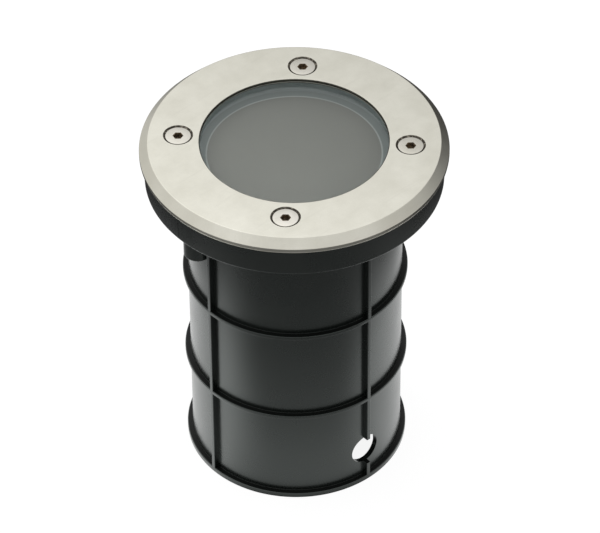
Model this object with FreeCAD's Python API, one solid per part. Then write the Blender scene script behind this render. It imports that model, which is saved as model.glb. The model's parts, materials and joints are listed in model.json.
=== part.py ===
"""In-ground well light: a ribbed ground sleeve that holds a sealed lamp housing under a screwed steel ring.

Millimetres, +Z up. The origin is the centre of the sleeve's foot, and -Y is the side with the cable hole.
Heights in the upper part hang from the ring's top face, so they are written as drops below it.
"""

import FreeCAD
import Part

import math
import os

V = FreeCAD.Vector
UP = V(0, 0, 1)

# ---- driving dimensions: trim ring and its screws ----
ring_diameter = 110.0
ring_height = 4.8
ring_plate = 3.2
ring_skirt = 2.4
chamfer_run = 3.0
chamfer_drop = 3.0
lip_thickness = 1.4
screw_count = 4
screw_turn_deg = 45.0
screw_diameter = 5.0
screw_head_diameter = 9.4
screw_head_land = 0.25
screw_cone_gap = 0.1
screw_length = 11.5
screw_socket_af = 3.0
screw_socket_depth = 1.6
countersink_diameter = 10.7
screw_hole_clearance = 0.25
screw_point = 0.6
screw_thread_spare = 1.0
edge_break = 0.25

# ---- glass and its seal ----
glass_thickness = 8.0
glass_overlap = 2.5
glass_bevel = 0.4
gasket_side = 1.15
gasket_lip = 0.5
gasket_top_inset = 0.4
gasket_bottom_width = 4.4
soft_fit = 0.05

# ---- ground sleeve ----
sleeve_diameter = 77.5
sleeve_wall = 2.0
rib_depth = 2.0
rib_thickness = 1.5
rim_thickness = 2.0
rib_count = 2
first_rib_drop = 57.5
upright_count = 4
upright_width = 1.6
upright_turn_deg = -90.0
collar_inset = 1.1
collar_draft = 0.6
collar_height = 10.9
collar_wall = 1.5
collar_fillet = 0.5
ledge_thickness = 2.0
cable_hole_diameter = 12.0
cable_hole_height = 14.0
boss_radius = 5.0
boss_length = 19.4
boss_inset = 1.25
boss_from_upright_deg = 10.5
boss_end_round = 0.6
parting_line_width = 0.35
parting_line_depth = 0.2
root_sink = 0.3

# ---- lamp housing ----
foot_width = 4.5
foot_thickness = 2.5
flange_gasket_thickness = 0.8
flange_gasket_width = 8.0
flange_gasket_inset = 0.3
boss_margin = 5.25
thread_wall = 1.35
housing_gap = 1.75
housing_wall = 2.5
housing_floor = 3.0
housing_bottom_round = 2.0
pocket_gap = 0.2

# ---- reflector lamp ----
lamp_diameter = 50.0
lamp_length = 50.0
lamp_below_glass = 6.5
lamp_rim = 4.0
lamp_neck_diameter = 22.0
lamp_base_diameter = 20.0
lamp_base_height = 8.0
lamp_base_round = 1.0
pin_root = 4.0
lamp_shell_wall = 1.6
lamp_neck_height = 12.0
lamp_fin_count = 24
lamp_fin_depth = 2.0
lamp_fin_slot = 1.2
lamp_fin_stop = 1.0
lamp_lens_thickness = 2.0
led_chamber_depth = 6.0
led_board_inset = 1.0
led_height = 0.7
led_board_thickness = 1.6
led_size = 3.0
led_count = 6
pin_spacing = 10.0
pin_neck_diameter = 3.0
pin_head_diameter = 5.0
pin_head_length = 2.6

# ---- lamp holder, its bracket and the wiring ----
holder_length = 31.0
holder_width = 18.0
holder_height = 18.0
holder_top_plate = 3.0
holder_corner = 3.0
holder_entry_margin = 0.1
lead_socket_depth = 3.0
unlock_turn_deg = 30.0
contact_thickness = 1.0
contact_width = 3.4
contact_half_turn_deg = 12.0
contact_side_gap = 0.4
bracket_thickness = 1.2
bracket_width = 16.0
post_radius = 3.5
post_inset = 6.0
wiring_height = 12.0
small_screw_diameter = 3.0
small_screw_head = 5.5
small_screw_head_height = 2.0
small_screw_grip = 7.0
small_screw_slot = 0.8
small_screw_round = 0.6
terminal_length = 26.0
terminal_width = 12.0
terminal_height = 12.0
terminal_poles = 3
terminal_pitch = 8.0
terminal_wall_gap = 4.0
terminal_screw_diameter = 3.4
terminal_wire_bore = 2.6
terminal_screw_slot = 0.6
terminal_screw_sink = 1.0
terminal_notch_width = 1.2
terminal_notch_depth = 3.0
lead_diameter = 2.0
lead_side = 5.0
lead_approach = 3.5
lead_grip = 2.0
earth_lead_run = 12.0
earth_lead_approach = 5.0
earth_post_inset = 10.9
earth_post_turn_deg = -33.7
earth_tag_thickness = 0.8
earth_tag_radius = 3.6
earth_crimp_length = 5.0
earth_crimp_wall = 0.5
earth_screw_grip = 4.5
earth_tag_neck = 0.5
earth_tail_width = 3.0
wire_rise = 6.2

# ---- cable gland ----
gland_thread_diameter = 16.0
gland_hex_af = 20.0
gland_hex_height = 6.0
gland_washer = 1.2
gland_neck_length = 8.5
gland_nut_height = 12.0
gland_seal_length = 10.0
locknut_height = 3.5
cable_diameter = 8.2
gland_bore_margin = 0.5
gland_thread_wall = 1.3
gland_stem_spare = 1.0
gland_nut_crown = 5.0
gland_nut_mouth = 6.5
locknut_af = 22.0

# ---- clearances ----
seat_gap = 0.2
slide_gap = 0.8
running_gap = 0.06
base_clearance = 17.7

# ---- places worked out from those sizes ----
ring_r = ring_diameter / 2
collar_top_r = ring_r - collar_inset
collar_bottom_r = collar_top_r - collar_draft
collar_inner_r = collar_bottom_r - collar_wall
foot_r = collar_inner_r - slide_gap
seat_ring_r = foot_r - foot_width
screw_circle_r = seat_ring_r - boss_margin
pocket_r = screw_circle_r - screw_diameter / 2 - thread_wall
gasket_r = pocket_r - pocket_gap
glass_r = gasket_r - gasket_side - soft_fit
opening_r = glass_r - glass_overlap
sleeve_r = sleeve_diameter / 2
sleeve_inner_r = sleeve_r - sleeve_wall
rib_r = sleeve_r + rib_depth
housing_r = sleeve_inner_r - housing_gap
housing_inner_r = housing_r - housing_wall
terminal_reach = math.sqrt((housing_inner_r - terminal_wall_gap) ** 2 - (terminal_length / 2) ** 2)
terminal_offset = terminal_reach - terminal_width / 2

gasket_top_drop = lip_thickness + soft_fit
glass_top_drop = gasket_top_drop + gasket_lip + soft_fit
glass_bottom_drop = glass_top_drop + glass_thickness
gasket_bottom_drop = glass_bottom_drop + soft_fit + gasket_lip
seat_drop = gasket_bottom_drop + soft_fit
seat_top_drop = ring_plate + seat_gap
collar_top_drop = ring_height + seat_gap
collar_bottom_drop = collar_top_drop + collar_height
ledge_drop = collar_bottom_drop - ledge_thickness
foot_drop = ledge_drop - flange_gasket_thickness - soft_fit
lamp_top_drop = glass_bottom_drop + lamp_below_glass
lamp_end_drop = lamp_top_drop + lamp_length
holder_top_drop = lamp_end_drop + seat_gap
holder_end_drop = holder_top_drop + holder_height
bracket_end_drop = holder_end_drop + bracket_thickness
floor_drop = bracket_end_drop + wiring_height
housing_end_drop = floor_drop + housing_floor
gland_hex_drop = housing_end_drop + gland_washer
gland_hex_end_drop = gland_hex_drop + gland_hex_height
gland_nut_end_drop = gland_hex_end_drop + seat_gap + gland_nut_height
pin_neck_length = seat_gap + holder_top_plate + seat_gap
holder_chamber_depth = seat_gap + pin_head_length + seat_gap + contact_thickness + soft_fit
total_height = gland_nut_end_drop + base_clearance


def level(drop):
    """Height above the sleeve's foot of something that lies this far below the ring's top face."""
    return total_height - drop


def polar(radius, angle_deg, z=0.0):
    a = math.radians(angle_deg)
    return V(radius * math.cos(a), radius * math.sin(a), z)


def cylinder(radius, z_low, z_high, centre=V(0, 0, 0)):
    return Part.makeCylinder(radius, z_high - z_low, V(centre.x, centre.y, z_low), UP)


def tube(outer, inner, z_low, z_high):
    return cylinder(outer, z_low, z_high).cut(cylinder(inner, z_low - 1, z_high + 1))


def block(x_size, y_size, z_low, z_high, centre=V(0, 0, 0)):
    corner = V(centre.x - x_size / 2, centre.y - y_size / 2, z_low)
    return Part.makeBox(x_size, y_size, z_high - z_low, corner)


def turned(points):
    """A solid of revolution about Z from (radius, z) corners."""
    corners = [V(r, 0, z) for r, z in points]
    face = Part.Face(Part.makePolygon(corners + corners[:1]))
    return face.revolve(V(0, 0, 0), UP, 360)


def hexagon(across_flats, z_low, z_high, centre=V(0, 0, 0), turn_deg=0.0):
    radius = across_flats / math.sqrt(3)
    corners = [centre + polar(radius, turn_deg + 60 * k) for k in range(6)]
    corners = [V(c.x, c.y, z_low) for c in corners]
    face = Part.Face(Part.makePolygon(corners + corners[:1]))
    return face.extrude(V(0, 0, z_high - z_low))


def at_angle(shape, angle_deg):
    copy = shape.copy()
    copy.rotate(V(0, 0, 0), UP, angle_deg)
    return copy


def around(shape, count, first_deg=0.0):
    return [at_angle(shape, first_deg + 360.0 * k / count) for k in range(count)]


def fused(shapes):
    whole = shapes[0]
    if len(shapes) > 1:
        whole = whole.fuse(shapes[1:])
    return whole.removeSplitter()


def edges_at(shape, z, radius):
    """Round edges of a turned shape that lie at this height with this radius."""
    found = []
    for edge in shape.Edges:
        curve = edge.Curve
        if isinstance(curve, Part.Circle):
            if abs(curve.Center.z - z) < 0.01 and abs(curve.Radius - radius) < 0.01:
                found.append(edge)
    return found


# ---- trim ring ----
def trim_ring():
    recess_r = pocket_r
    skirt_inner_r = ring_r - ring_skirt
    ring = turned(
        [
            (opening_r, level(0)),
            (ring_r - chamfer_run, level(0)),
            (ring_r, level(chamfer_drop)),
            (ring_r, level(ring_height)),
            (skirt_inner_r, level(ring_height)),
            (skirt_inner_r, level(ring_plate)),
            (recess_r, level(ring_plate)),
            (recess_r, level(lip_thickness)),
            (opening_r, level(lip_thickness)),
        ]
    )
    ring = ring.makeFillet(edge_break, edges_at(ring, level(0), opening_r))
    ring = ring.makeFillet(edge_break, edges_at(ring, level(ring_height), ring_r))
    hole_r = screw_diameter / 2 + screw_hole_clearance
    sink_r = countersink_diameter / 2
    sink = turned(
        [
            (0, level(-1)),
            (sink_r, level(-1)),
            (sink_r, level(0)),
            (hole_r, level(sink_r - hole_r)),
            (hole_r, level(ring_plate + 1)),
            (0, level(ring_plate + 1)),
        ]
    )
    sink.translate(V(screw_circle_r, 0, 0))
    return ring.cut(around(sink, screw_count, screw_turn_deg))


def head_drop():
    """How far a screw head sits below the ring's face, from the two countersink diameters."""
    return (countersink_diameter - screw_head_diameter) / 2 - screw_head_land - screw_cone_gap


def cover_screw():
    head_r = screw_head_diameter / 2
    shank_r = screw_diameter / 2
    top = head_drop()
    cone_end = top + screw_head_land + head_r - shank_r
    body = turned(
        [
            (0, level(top)),
            (head_r, level(top)),
            (head_r, level(top + screw_head_land)),
            (shank_r, level(cone_end)),
            (shank_r, level(top + screw_length - screw_point)),
            (shank_r - screw_point, level(top + screw_length)),
            (0, level(top + screw_length)),
        ]
    )
    socket = hexagon(screw_socket_af, level(top + screw_socket_depth), level(top) + 1)
    return body.cut(socket)


def cover_screws():
    screw = cover_screw()
    screw.translate(V(screw_circle_r, 0, 0))
    return around(screw, screw_count, screw_turn_deg)


# ---- glass and seal ----
def glass_lens():
    low, high = level(glass_bottom_drop), level(glass_top_drop)
    return turned(
        [
            (0, low),
            (glass_r - glass_bevel, low),
            (glass_r, low + glass_bevel),
            (glass_r, high - glass_bevel),
            (glass_r - glass_bevel, high),
            (0, high),
        ]
    )


def lens_gasket():
    bottom_inner_r = glass_r - gasket_bottom_width
    top_inner_r = opening_r + gasket_top_inset
    wall_inner_r = glass_r + soft_fit
    return turned(
        [
            (top_inner_r, level(gasket_top_drop)),
            (gasket_r, level(gasket_top_drop)),
            (gasket_r, level(gasket_bottom_drop)),
            (bottom_inner_r, level(gasket_bottom_drop)),
            (bottom_inner_r, level(gasket_bottom_drop - gasket_lip)),
            (wall_inner_r, level(gasket_bottom_drop - gasket_lip)),
            (wall_inner_r, level(gasket_top_drop + gasket_lip)),
            (top_inner_r, level(gasket_top_drop + gasket_lip)),
        ]
    )


# ---- ground sleeve ----
def collar():
    top = level(collar_top_drop)
    bottom = level(collar_bottom_drop)
    ledge = level(ledge_drop)
    shape = turned(
        [
            (sleeve_inner_r, bottom),
            (collar_bottom_r, bottom),
            (collar_top_r, top),
            (collar_inner_r, top),
            (collar_inner_r, ledge),
            (sleeve_inner_r, ledge),
        ]
    )
    return shape.makeFillet(collar_fillet, edges_at(shape, bottom, collar_bottom_r))


def sleeve_ribs():
    """The ring ribs, evenly spaced from the first one down to the foot rim."""
    root_r = sleeve_r - root_sink
    rings = [tube(rib_r, root_r, 0, rim_thickness)]
    first_top = level(first_rib_drop)
    pitch = (first_top - rim_thickness) / rib_count
    for k in range(rib_count):
        rib_top = first_top - k * pitch
        rings.append(tube(rib_r, root_r, rib_top - rib_thickness, rib_top))
    return rings


def sleeve_uprights():
    root_r = sleeve_r - root_sink
    bar = Part.makeBox(
        rib_r - root_r, upright_width, level(collar_bottom_drop), V(root_r, -upright_width / 2, 0)
    )
    trimmed = bar.common(cylinder(rib_r, -1, total_height))
    return around(trimmed, upright_count, upright_turn_deg)


def sleeve_boss():
    """The upright round boss that hangs from the collar beside one upright, half sunk in the wall."""
    centre = V(sleeve_r + boss_inset, 0, 0)
    low, high = level(collar_bottom_drop + boss_length), level(collar_bottom_drop) + collar_fillet
    boss = cylinder(boss_radius, low, high, centre)
    boss = boss.makeFillet(boss_end_round, edges_at(boss, low, boss_radius))
    outside = boss.cut(cylinder(sleeve_r - root_sink, 0, total_height))
    return at_angle(outside, upright_turn_deg - 90 - boss_from_upright_deg)


def parting_line(angle_deg):
    depth_r = collar_bottom_r - parting_line_depth
    cut = Part.makeBox(
        collar_wall * 2,
        parting_line_width,
        collar_height * 2,
        V(depth_r, -parting_line_width / 2, level(collar_bottom_drop) - 1),
    )
    drafted = cut.cut(turned(collar_core(depth_r)))
    return at_angle(drafted, angle_deg)


def collar_core(depth_r):
    low, high = level(collar_bottom_drop) - 2, level(collar_top_drop) + 2 * collar_height
    slope = collar_draft / collar_height
    return [(0, low), (depth_r - 2 * slope, low), (depth_r + slope * (high - low - 2), high), (0, high)]


def ground_sleeve():
    wall = tube(sleeve_r, sleeve_inner_r, 0, level(ledge_drop))
    body = fused([wall, collar(), sleeve_boss()] + sleeve_ribs() + sleeve_uprights())
    hole = Part.makeCylinder(
        cable_hole_diameter / 2,
        sleeve_diameter,
        polar(sleeve_inner_r - 4, upright_turn_deg, cable_hole_height),
        polar(1, upright_turn_deg),
    )
    lines = [parting_line(upright_turn_deg - 90), parting_line(upright_turn_deg + 90)]
    return body.cut([hole] + lines)


def flange_gasket():
    low = level(ledge_drop)
    high = low + flange_gasket_thickness
    outer = foot_r - flange_gasket_inset
    return tube(outer, outer - flange_gasket_width, low + soft_fit / 2, high)


# ---- lamp housing ----
def post_places():
    x = housing_inner_r - post_inset
    return [V(-x, 0, 0), V(x, 0, 0)]


def earth_place():
    return polar(housing_inner_r - earth_post_inset, earth_post_turn_deg)


def lamp_housing():
    foot_top = level(foot_drop) + foot_thickness
    floor = level(floor_drop)
    shell = turned(
        [
            (0, level(housing_end_drop)),
            (housing_r, level(housing_end_drop)),
            (housing_r, level(foot_drop)),
            (foot_r, level(foot_drop)),
            (foot_r, foot_top),
            (seat_ring_r, foot_top),
            (seat_ring_r, level(seat_top_drop)),
            (pocket_r, level(seat_top_drop)),
            (pocket_r, level(seat_drop)),
            (glass_r - gasket_bottom_width, level(seat_drop)),
            (glass_r - gasket_bottom_width, level(foot_drop)),
            (housing_inner_r, level(foot_drop) - housing_wall),
            (housing_inner_r, floor),
            (0, floor),
        ]
    )
    shell = shell.makeFillet(housing_bottom_round, edges_at(shell, level(housing_end_drop), housing_r))
    post_top = level(bracket_end_drop)
    posts = [cylinder(post_radius, floor - 0.5, post_top, p) for p in post_places()]
    posts.append(cylinder(post_radius, floor - 0.5, earth_post_top(), earth_place()))
    body = fused([shell] + posts)
    thread_r = screw_diameter / 2 + running_gap
    thread_low = level(head_drop() + screw_length) - screw_thread_spare
    tapped = cylinder(thread_r, thread_low, total_height, V(screw_circle_r, 0, 0))
    small_r = small_screw_diameter / 2 + running_gap
    small = [
        cylinder(small_r, post_top - small_screw_grip, post_top + 1, p) for p in post_places()
    ]
    earth_top = earth_post_top()
    small.append(cylinder(small_r, floor - housing_floor + 1, earth_top + 1, earth_place()))
    entry = cylinder(
        gland_thread_diameter / 2 + running_gap, level(housing_end_drop) - 1, floor + 1
    )
    return body.cut(around(tapped, screw_count, screw_turn_deg) + small + [entry])


# ---- lamp bracket and holder ----
def bracket():
    z_low, z_high = level(bracket_end_drop), level(holder_end_drop)
    span = 2 * (housing_inner_r - post_inset) + bracket_width / 2
    plate = block(span, bracket_width, z_low, z_high)
    hole_r = small_screw_diameter / 2 + running_gap
    holes = [cylinder(hole_r, z_low - 1, z_high + 1, p) for p in post_places()]
    holes += [cylinder(hole_r, z_low - 1, z_high + 1, p) for p in holder_screw_places()]
    holes += [cylinder(lead_diameter, z_low - 1, z_high + 1, p) for p in lead_places()]
    return plate.cut(holes)


def holder_screw_places():
    x = holder_length / 2 - small_screw_head
    return [V(-x, 0, 0), V(x, 0, 0)]


def lead_places():
    return [V(-lead_side, lead_side, 0), V(lead_side, lead_side, 0)]


def pan_screw(centre, head_base, length, direction):
    """A small pan-head screw whose shank runs from head_base along direction, +1 up or -1 down."""
    head_r = small_screw_head / 2
    shank_r = small_screw_diameter / 2
    head = cylinder(head_r, -small_screw_head_height, 0)
    head = head.makeFillet(small_screw_round, edges_at(head, -small_screw_head_height, head_r))
    shank = cylinder(shank_r, -0.1, length)
    slot_floor = small_screw_slot - small_screw_head_height
    slot = block(small_screw_head + 1, small_screw_slot, -small_screw_head_height - 1, slot_floor)
    screw = fused([head, shank]).cut(slot)
    if direction < 0:
        screw.rotate(V(0, 0, 0), V(1, 0, 0), 180)
    screw.translate(V(centre.x, centre.y, head_base))
    return screw


def bracket_screws():
    top = level(holder_end_drop)
    return [pan_screw(p, top, small_screw_grip, -1) for p in post_places()]


def holder_screws():
    base = level(bracket_end_drop)
    return [pan_screw(p, base, small_screw_grip, 1) for p in holder_screw_places()]


def arc_slot(half_width, a_start, a_end, z_low, z_high):
    """A curved slot on the pin circle, from one angle to another, with round ends."""
    path_r = pin_spacing / 2
    inner, outer = path_r - half_width, path_r + half_width
    middle = (a_start + a_end) / 2

    def at(radius, angle):
        return polar(radius, angle, z_low)

    def cap(angle, direction):
        tangent = polar(half_width, angle + 90 * direction)
        return at(path_r, angle) + tangent

    outline = Part.Wire(
        [
            Part.Arc(at(outer, a_start), at(outer, middle), at(outer, a_end)).toShape(),
            Part.Arc(at(outer, a_end), cap(a_end, 1), at(inner, a_end)).toShape(),
            Part.Arc(at(inner, a_end), at(inner, middle), at(inner, a_start)).toShape(),
            Part.Arc(at(inner, a_start), cap(a_start, -1), at(outer, a_start)).toShape(),
        ]
    )
    return Part.Face(outline).extrude(V(0, 0, z_high - z_low))


def lamp_holder():
    top = level(holder_top_drop)
    bottom = level(holder_end_drop)
    body = block(holder_length, holder_width, bottom, top)
    uprights = [e for e in body.Edges if abs(e.tangentAt(e.FirstParameter).z) > 0.9]
    body = body.makeFillet(holder_corner, uprights)
    plate_low = top - holder_top_plate
    chamber_low = plate_low - holder_chamber_depth
    neck_half = pin_neck_diameter / 2 + seat_gap
    head_half = pin_head_diameter / 2 + seat_gap
    cuts = []
    for side in (0, 180):
        locked, free = side, side + unlock_turn_deg
        cuts.append(arc_slot(neck_half, locked, free, plate_low - 0.5, top + 1))
        cuts.append(arc_slot(head_half, locked, free, chamber_low, plate_low))
        entry_r = head_half + holder_entry_margin
        cuts.append(cylinder(entry_r, plate_low - 0.5, top + 1, polar(pin_spacing / 2, free)))
    hole_r = small_screw_diameter / 2 + running_gap
    depth = small_screw_grip
    cuts += [cylinder(hole_r, bottom - 1, bottom + depth, p) for p in holder_screw_places()]
    lead_r = lead_diameter / 2 + running_gap
    cuts += [cylinder(lead_r, bottom - 1, bottom + lead_socket_depth, p) for p in lead_places()]
    return body.cut(cuts)


def holder_contacts():
    """The brass pads that the pin heads press on, at the bottom of the chambers."""
    low = level(holder_top_drop + holder_top_plate + holder_chamber_depth) + soft_fit
    pads = []
    for side in (0, 180):
        middle = side + unlock_turn_deg / 2
        half = contact_width / 2 - contact_side_gap
        start, end = middle - contact_half_turn_deg, middle + contact_half_turn_deg
        pads.append(arc_slot(half, start, end, low, low + contact_thickness))
    return pads


# ---- reflector lamp ----
def lamp_shell():
    top, end = level(lamp_top_drop), level(lamp_end_drop)
    base_top = end + lamp_base_height
    r, neck, wall = lamp_diameter / 2, lamp_neck_diameter / 2, lamp_shell_wall
    cup_low = base_top + lamp_neck_height
    board_low = led_board_low()
    return turned(
        [
            (0, base_top + soft_fit),
            (neck, base_top + soft_fit),
            (neck, cup_low),
            (r, top - lamp_rim),
            (r, top),
            (r - wall, top),
            (r - wall, board_low),
            (0, board_low),
        ]
    )


def lamp_cooling_fins():
    """Slots between the fins on the lamp's cup."""
    top, end = level(lamp_top_drop), level(lamp_end_drop)
    low, high = end + lamp_base_height + lamp_neck_height, top - lamp_rim - lamp_fin_stop
    slot = Part.makeBox(4 * lamp_fin_depth, lamp_fin_slot, high - low, V(0, -lamp_fin_slot / 2, 0))
    slope = (lamp_diameter - lamp_neck_diameter) / 2 / (top - lamp_rim - low)
    slot.rotate(V(0, 0, 0), V(0, 1, 0), math.degrees(math.atan(slope)))
    slot.translate(V(lamp_neck_diameter / 2 - lamp_fin_depth, 0, low))
    return around(slot, lamp_fin_count)


def lamp_base():
    end = level(lamp_end_drop)
    r = lamp_base_diameter / 2
    base = cylinder(r, end, end + lamp_base_height)
    base = base.makeFillet(lamp_base_round, edges_at(base, end, r))
    hole_r = pin_neck_diameter / 2 + running_gap
    holes = [cylinder(hole_r, end - 1, end + pin_root, p) for p in pin_places()]
    return base.cut(holes)


def pin_places():
    return [polar(pin_spacing / 2, side) for side in (0, 180)]


def lamp_pins():
    end = level(lamp_end_drop)
    pins = []
    for p in pin_places():
        neck = cylinder(pin_neck_diameter / 2, end - pin_neck_length - 0.2, end + pin_root - soft_fit, p)
        head_top = end - pin_neck_length
        head = cylinder(pin_head_diameter / 2, head_top - pin_head_length, head_top, p)
        pins.append(fused([neck, head]))
    return pins


def lamp_lens():
    top = level(lamp_top_drop)
    r = lamp_diameter / 2 - lamp_shell_wall - soft_fit
    return cylinder(r, top - lamp_lens_thickness, top)


def led_board_low():
    return level(lamp_top_drop) - lamp_lens_thickness - led_chamber_depth


def led_board():
    low = led_board_low() + soft_fit
    r = lamp_diameter / 2 - lamp_shell_wall - led_board_inset
    return cylinder(r, low, low + led_board_thickness)


def led_chips():
    low = led_board_low() + soft_fit + led_board_thickness
    ring_at = lamp_diameter / 4
    places = [V(0, 0, 0)] + [polar(ring_at, 360.0 * k / led_count) for k in range(led_count)]
    return [block(led_size, led_size, low, low + led_height, p) for p in places]


# ---- wiring inside the housing ----
def terminal_floor():
    return level(floor_drop) + soft_fit


def terminal_block():
    low = terminal_floor()
    centre = V(0, terminal_offset, 0)
    body = block(terminal_length, terminal_width, low, low + terminal_height, centre)
    cuts = []
    for x in terminal_xs():
        screw_r = terminal_screw_diameter / 2 + running_gap
        screw_hole = cylinder(screw_r, lead_level(), low + terminal_height + 1, V(x, terminal_offset, 0))
        wire_hole = Part.makeCylinder(
            terminal_wire_bore / 2,
            terminal_width + 2,
            V(x, terminal_offset - terminal_width / 2 - 1, lead_level()),
            V(0, 1, 0),
        )
        cuts += [screw_hole, wire_hole]
    notches = []
    for x in [(a + b) / 2 for a, b in zip(terminal_xs(), terminal_xs()[1:])]:
        top = low + terminal_height
        floor = top - terminal_notch_depth
        place = V(x, terminal_offset, 0)
        notches.append(block(terminal_notch_width, terminal_width + 2, floor, top + 1, place))
    return body.cut(cuts + notches)


def terminal_xs():
    return [terminal_pitch * (k - (terminal_poles - 1) / 2) for k in range(terminal_poles)]


def terminal_screws():
    low = lead_level() + lead_diameter / 2 + soft_fit
    high = terminal_floor() + terminal_height - terminal_screw_sink
    screws = []
    for x in terminal_xs():
        place = V(x, terminal_offset, 0)
        screw = cylinder(terminal_screw_diameter / 2, low, high, place)
        slot = block(5, terminal_screw_slot, high - small_screw_slot, high + 1, place)
        screws.append(screw.cut(slot))
    return screws


def lead_level():
    return terminal_floor() + wire_rise


def pipe_along(points, diameter):
    """A round tube of straight runs joined by tangent arcs, each as large as its shorter run allows."""
    edges = []
    radii = []
    start = points[0]
    for before, corner, after in zip(points, points[1:], points[2:]):
        back, on = (before - corner), (after - corner)
        turn = math.pi - back.getAngle(on)
        trim = 0.45 * min(back.Length, on.Length)
        radii.append(trim / math.tan(turn / 2))
        back.normalize()
        on.normalize()
        enter, leave = corner + back * trim, corner + on * trim
        towards = back + on
        towards.normalize()
        radius = radii[-1]
        middle = corner + towards * (radius / math.cos(turn / 2) - radius)
        edges.append(Part.LineSegment(start, enter).toShape())
        edges.append(Part.Arc(enter, middle, leave).toShape())
        start = leave
    edges.append(Part.LineSegment(start, points[-1]).toShape())
    path = Part.Wire(edges)
    first = points[1] - points[0]
    ring = Part.Wire(Part.makeCircle(diameter / 2, points[0], first))
    pipe = path.makePipeShell([ring], True, False)
    expected = path.Length * math.pi * diameter**2 / 4
    print("lead of %.1f mm, bend radii %s, volume %.3f of expected"
          % (path.Length, [round(r, 1) for r in radii], pipe.Volume / expected))
    return pipe


def holder_lead(side, pole):
    """From the holder's underside down and across into the front of a terminal pole."""
    x = side * lead_side
    pole_x = terminal_xs()[pole]
    top = level(holder_end_drop) + lead_socket_depth - seat_gap
    z = lead_level()
    face = terminal_offset - terminal_width / 2
    start, turn = V(x, lead_side, top), V(x, lead_side, z)
    bend, end = V(pole_x, face - lead_approach, z), V(pole_x, face + lead_grip, z)
    return pipe_along([start, turn, bend, end], lead_diameter)


def earth_lead():
    """From the earth tag's crimp along the housing and into the last terminal pole."""
    z = lead_level()
    tag = earth_place()
    start_y = tag.y + earth_tag_radius + earth_tag_neck
    face = terminal_offset - terminal_width / 2
    pole_x = terminal_xs()[-1]
    start, turn = V(tag.x, start_y, z), V(tag.x, start_y + earth_lead_run, z)
    bend, end = V(pole_x, face - earth_lead_approach, z), V(pole_x, face + lead_grip, z)
    return pipe_along([start, turn, bend, end], lead_diameter)


# ---- earth terminal ----
def earth_post_top():
    return lead_level() - lead_diameter / 2 - earth_tag_thickness - 2 * soft_fit


def earth_tag():
    low = earth_post_top() + soft_fit
    high = low + earth_tag_thickness
    place = earth_place()
    ring = cylinder(earth_tag_radius, low, high, place)
    hole = cylinder(small_screw_diameter / 2 + running_gap, low - 1, high + 1, place)
    crimp_start = place.y + earth_tag_radius + earth_tag_neck
    tail_length = earth_crimp_length + earth_tag_radius + earth_tag_neck
    tail = block(earth_tail_width, tail_length, low, high, V(place.x, place.y + tail_length / 2, 0))
    centre = V(place.x, crimp_start, lead_level())
    bore_r = lead_diameter / 2 + soft_fit
    crimp = Part.makeCylinder(bore_r + earth_crimp_wall, earth_crimp_length, centre, V(0, 1, 0))
    bore = Part.makeCylinder(bore_r, earth_crimp_length + 2, centre - V(0, 1, 0), V(0, 1, 0))
    return fused([ring, tail, crimp]).cut([hole, bore])


def earth_screw():
    base = earth_post_top() + soft_fit + earth_tag_thickness
    return pan_screw(earth_place(), base, earth_screw_grip, -1)


# ---- cable gland ----
def gland_body():
    stem_top = level(floor_drop) + locknut_height + gland_stem_spare
    stem_r = gland_thread_diameter / 2
    hex_low = level(gland_hex_end_drop)
    neck_low = hex_low - gland_neck_length
    stem = cylinder(stem_r, hex_low, stem_top)
    flange = hexagon(gland_hex_af, hex_low, level(gland_hex_drop))
    neck = cylinder(stem_r, neck_low, hex_low + 0.5)
    bore_r = cable_diameter / 2 + gland_bore_margin
    seal_pocket = cylinder(stem_r - gland_thread_wall, neck_low - 1, neck_low + gland_seal_length + soft_fit)
    bore = cylinder(bore_r, neck_low - 1, stem_top + 1)
    return fused([stem, flange, neck]).cut([bore, seal_pocket])


def gland_seal():
    neck_low = level(gland_hex_end_drop) - gland_neck_length
    outer = gland_thread_diameter / 2 - gland_thread_wall - soft_fit
    return tube(outer, cable_diameter / 2, neck_low, neck_low + gland_seal_length)


def gland_nut():
    high = level(gland_hex_end_drop) - seat_gap
    low = high - gland_nut_height
    thread_r = gland_thread_diameter / 2 + running_gap
    bore_r = cable_diameter / 2 + gland_bore_margin
    crown_r = gland_hex_af / math.sqrt(3)
    dome = turned(
        [
            (0, low),
            (gland_nut_mouth, low),
            (crown_r, low + gland_nut_crown),
            (crown_r, high),
            (0, high),
        ]
    )
    body = hexagon(gland_hex_af, low, high).common(dome)
    pocket_low = level(gland_hex_end_drop) - gland_neck_length - soft_fit
    pocket = cylinder(thread_r, pocket_low, high + 1)
    return body.cut([pocket, cylinder(bore_r, low - 1, high)])


def gland_washer_ring():
    high = level(housing_end_drop) - soft_fit / 2
    low = level(gland_hex_drop) + soft_fit / 2
    return tube(gland_hex_af / 2, gland_thread_diameter / 2 + running_gap, low, high)


def gland_locknut():
    low = level(floor_drop) + soft_fit
    high = low + locknut_height
    return hexagon(locknut_af, low, high).cut(
        cylinder(gland_thread_diameter / 2 + running_gap, low - 1, high + 1)
    )


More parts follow.
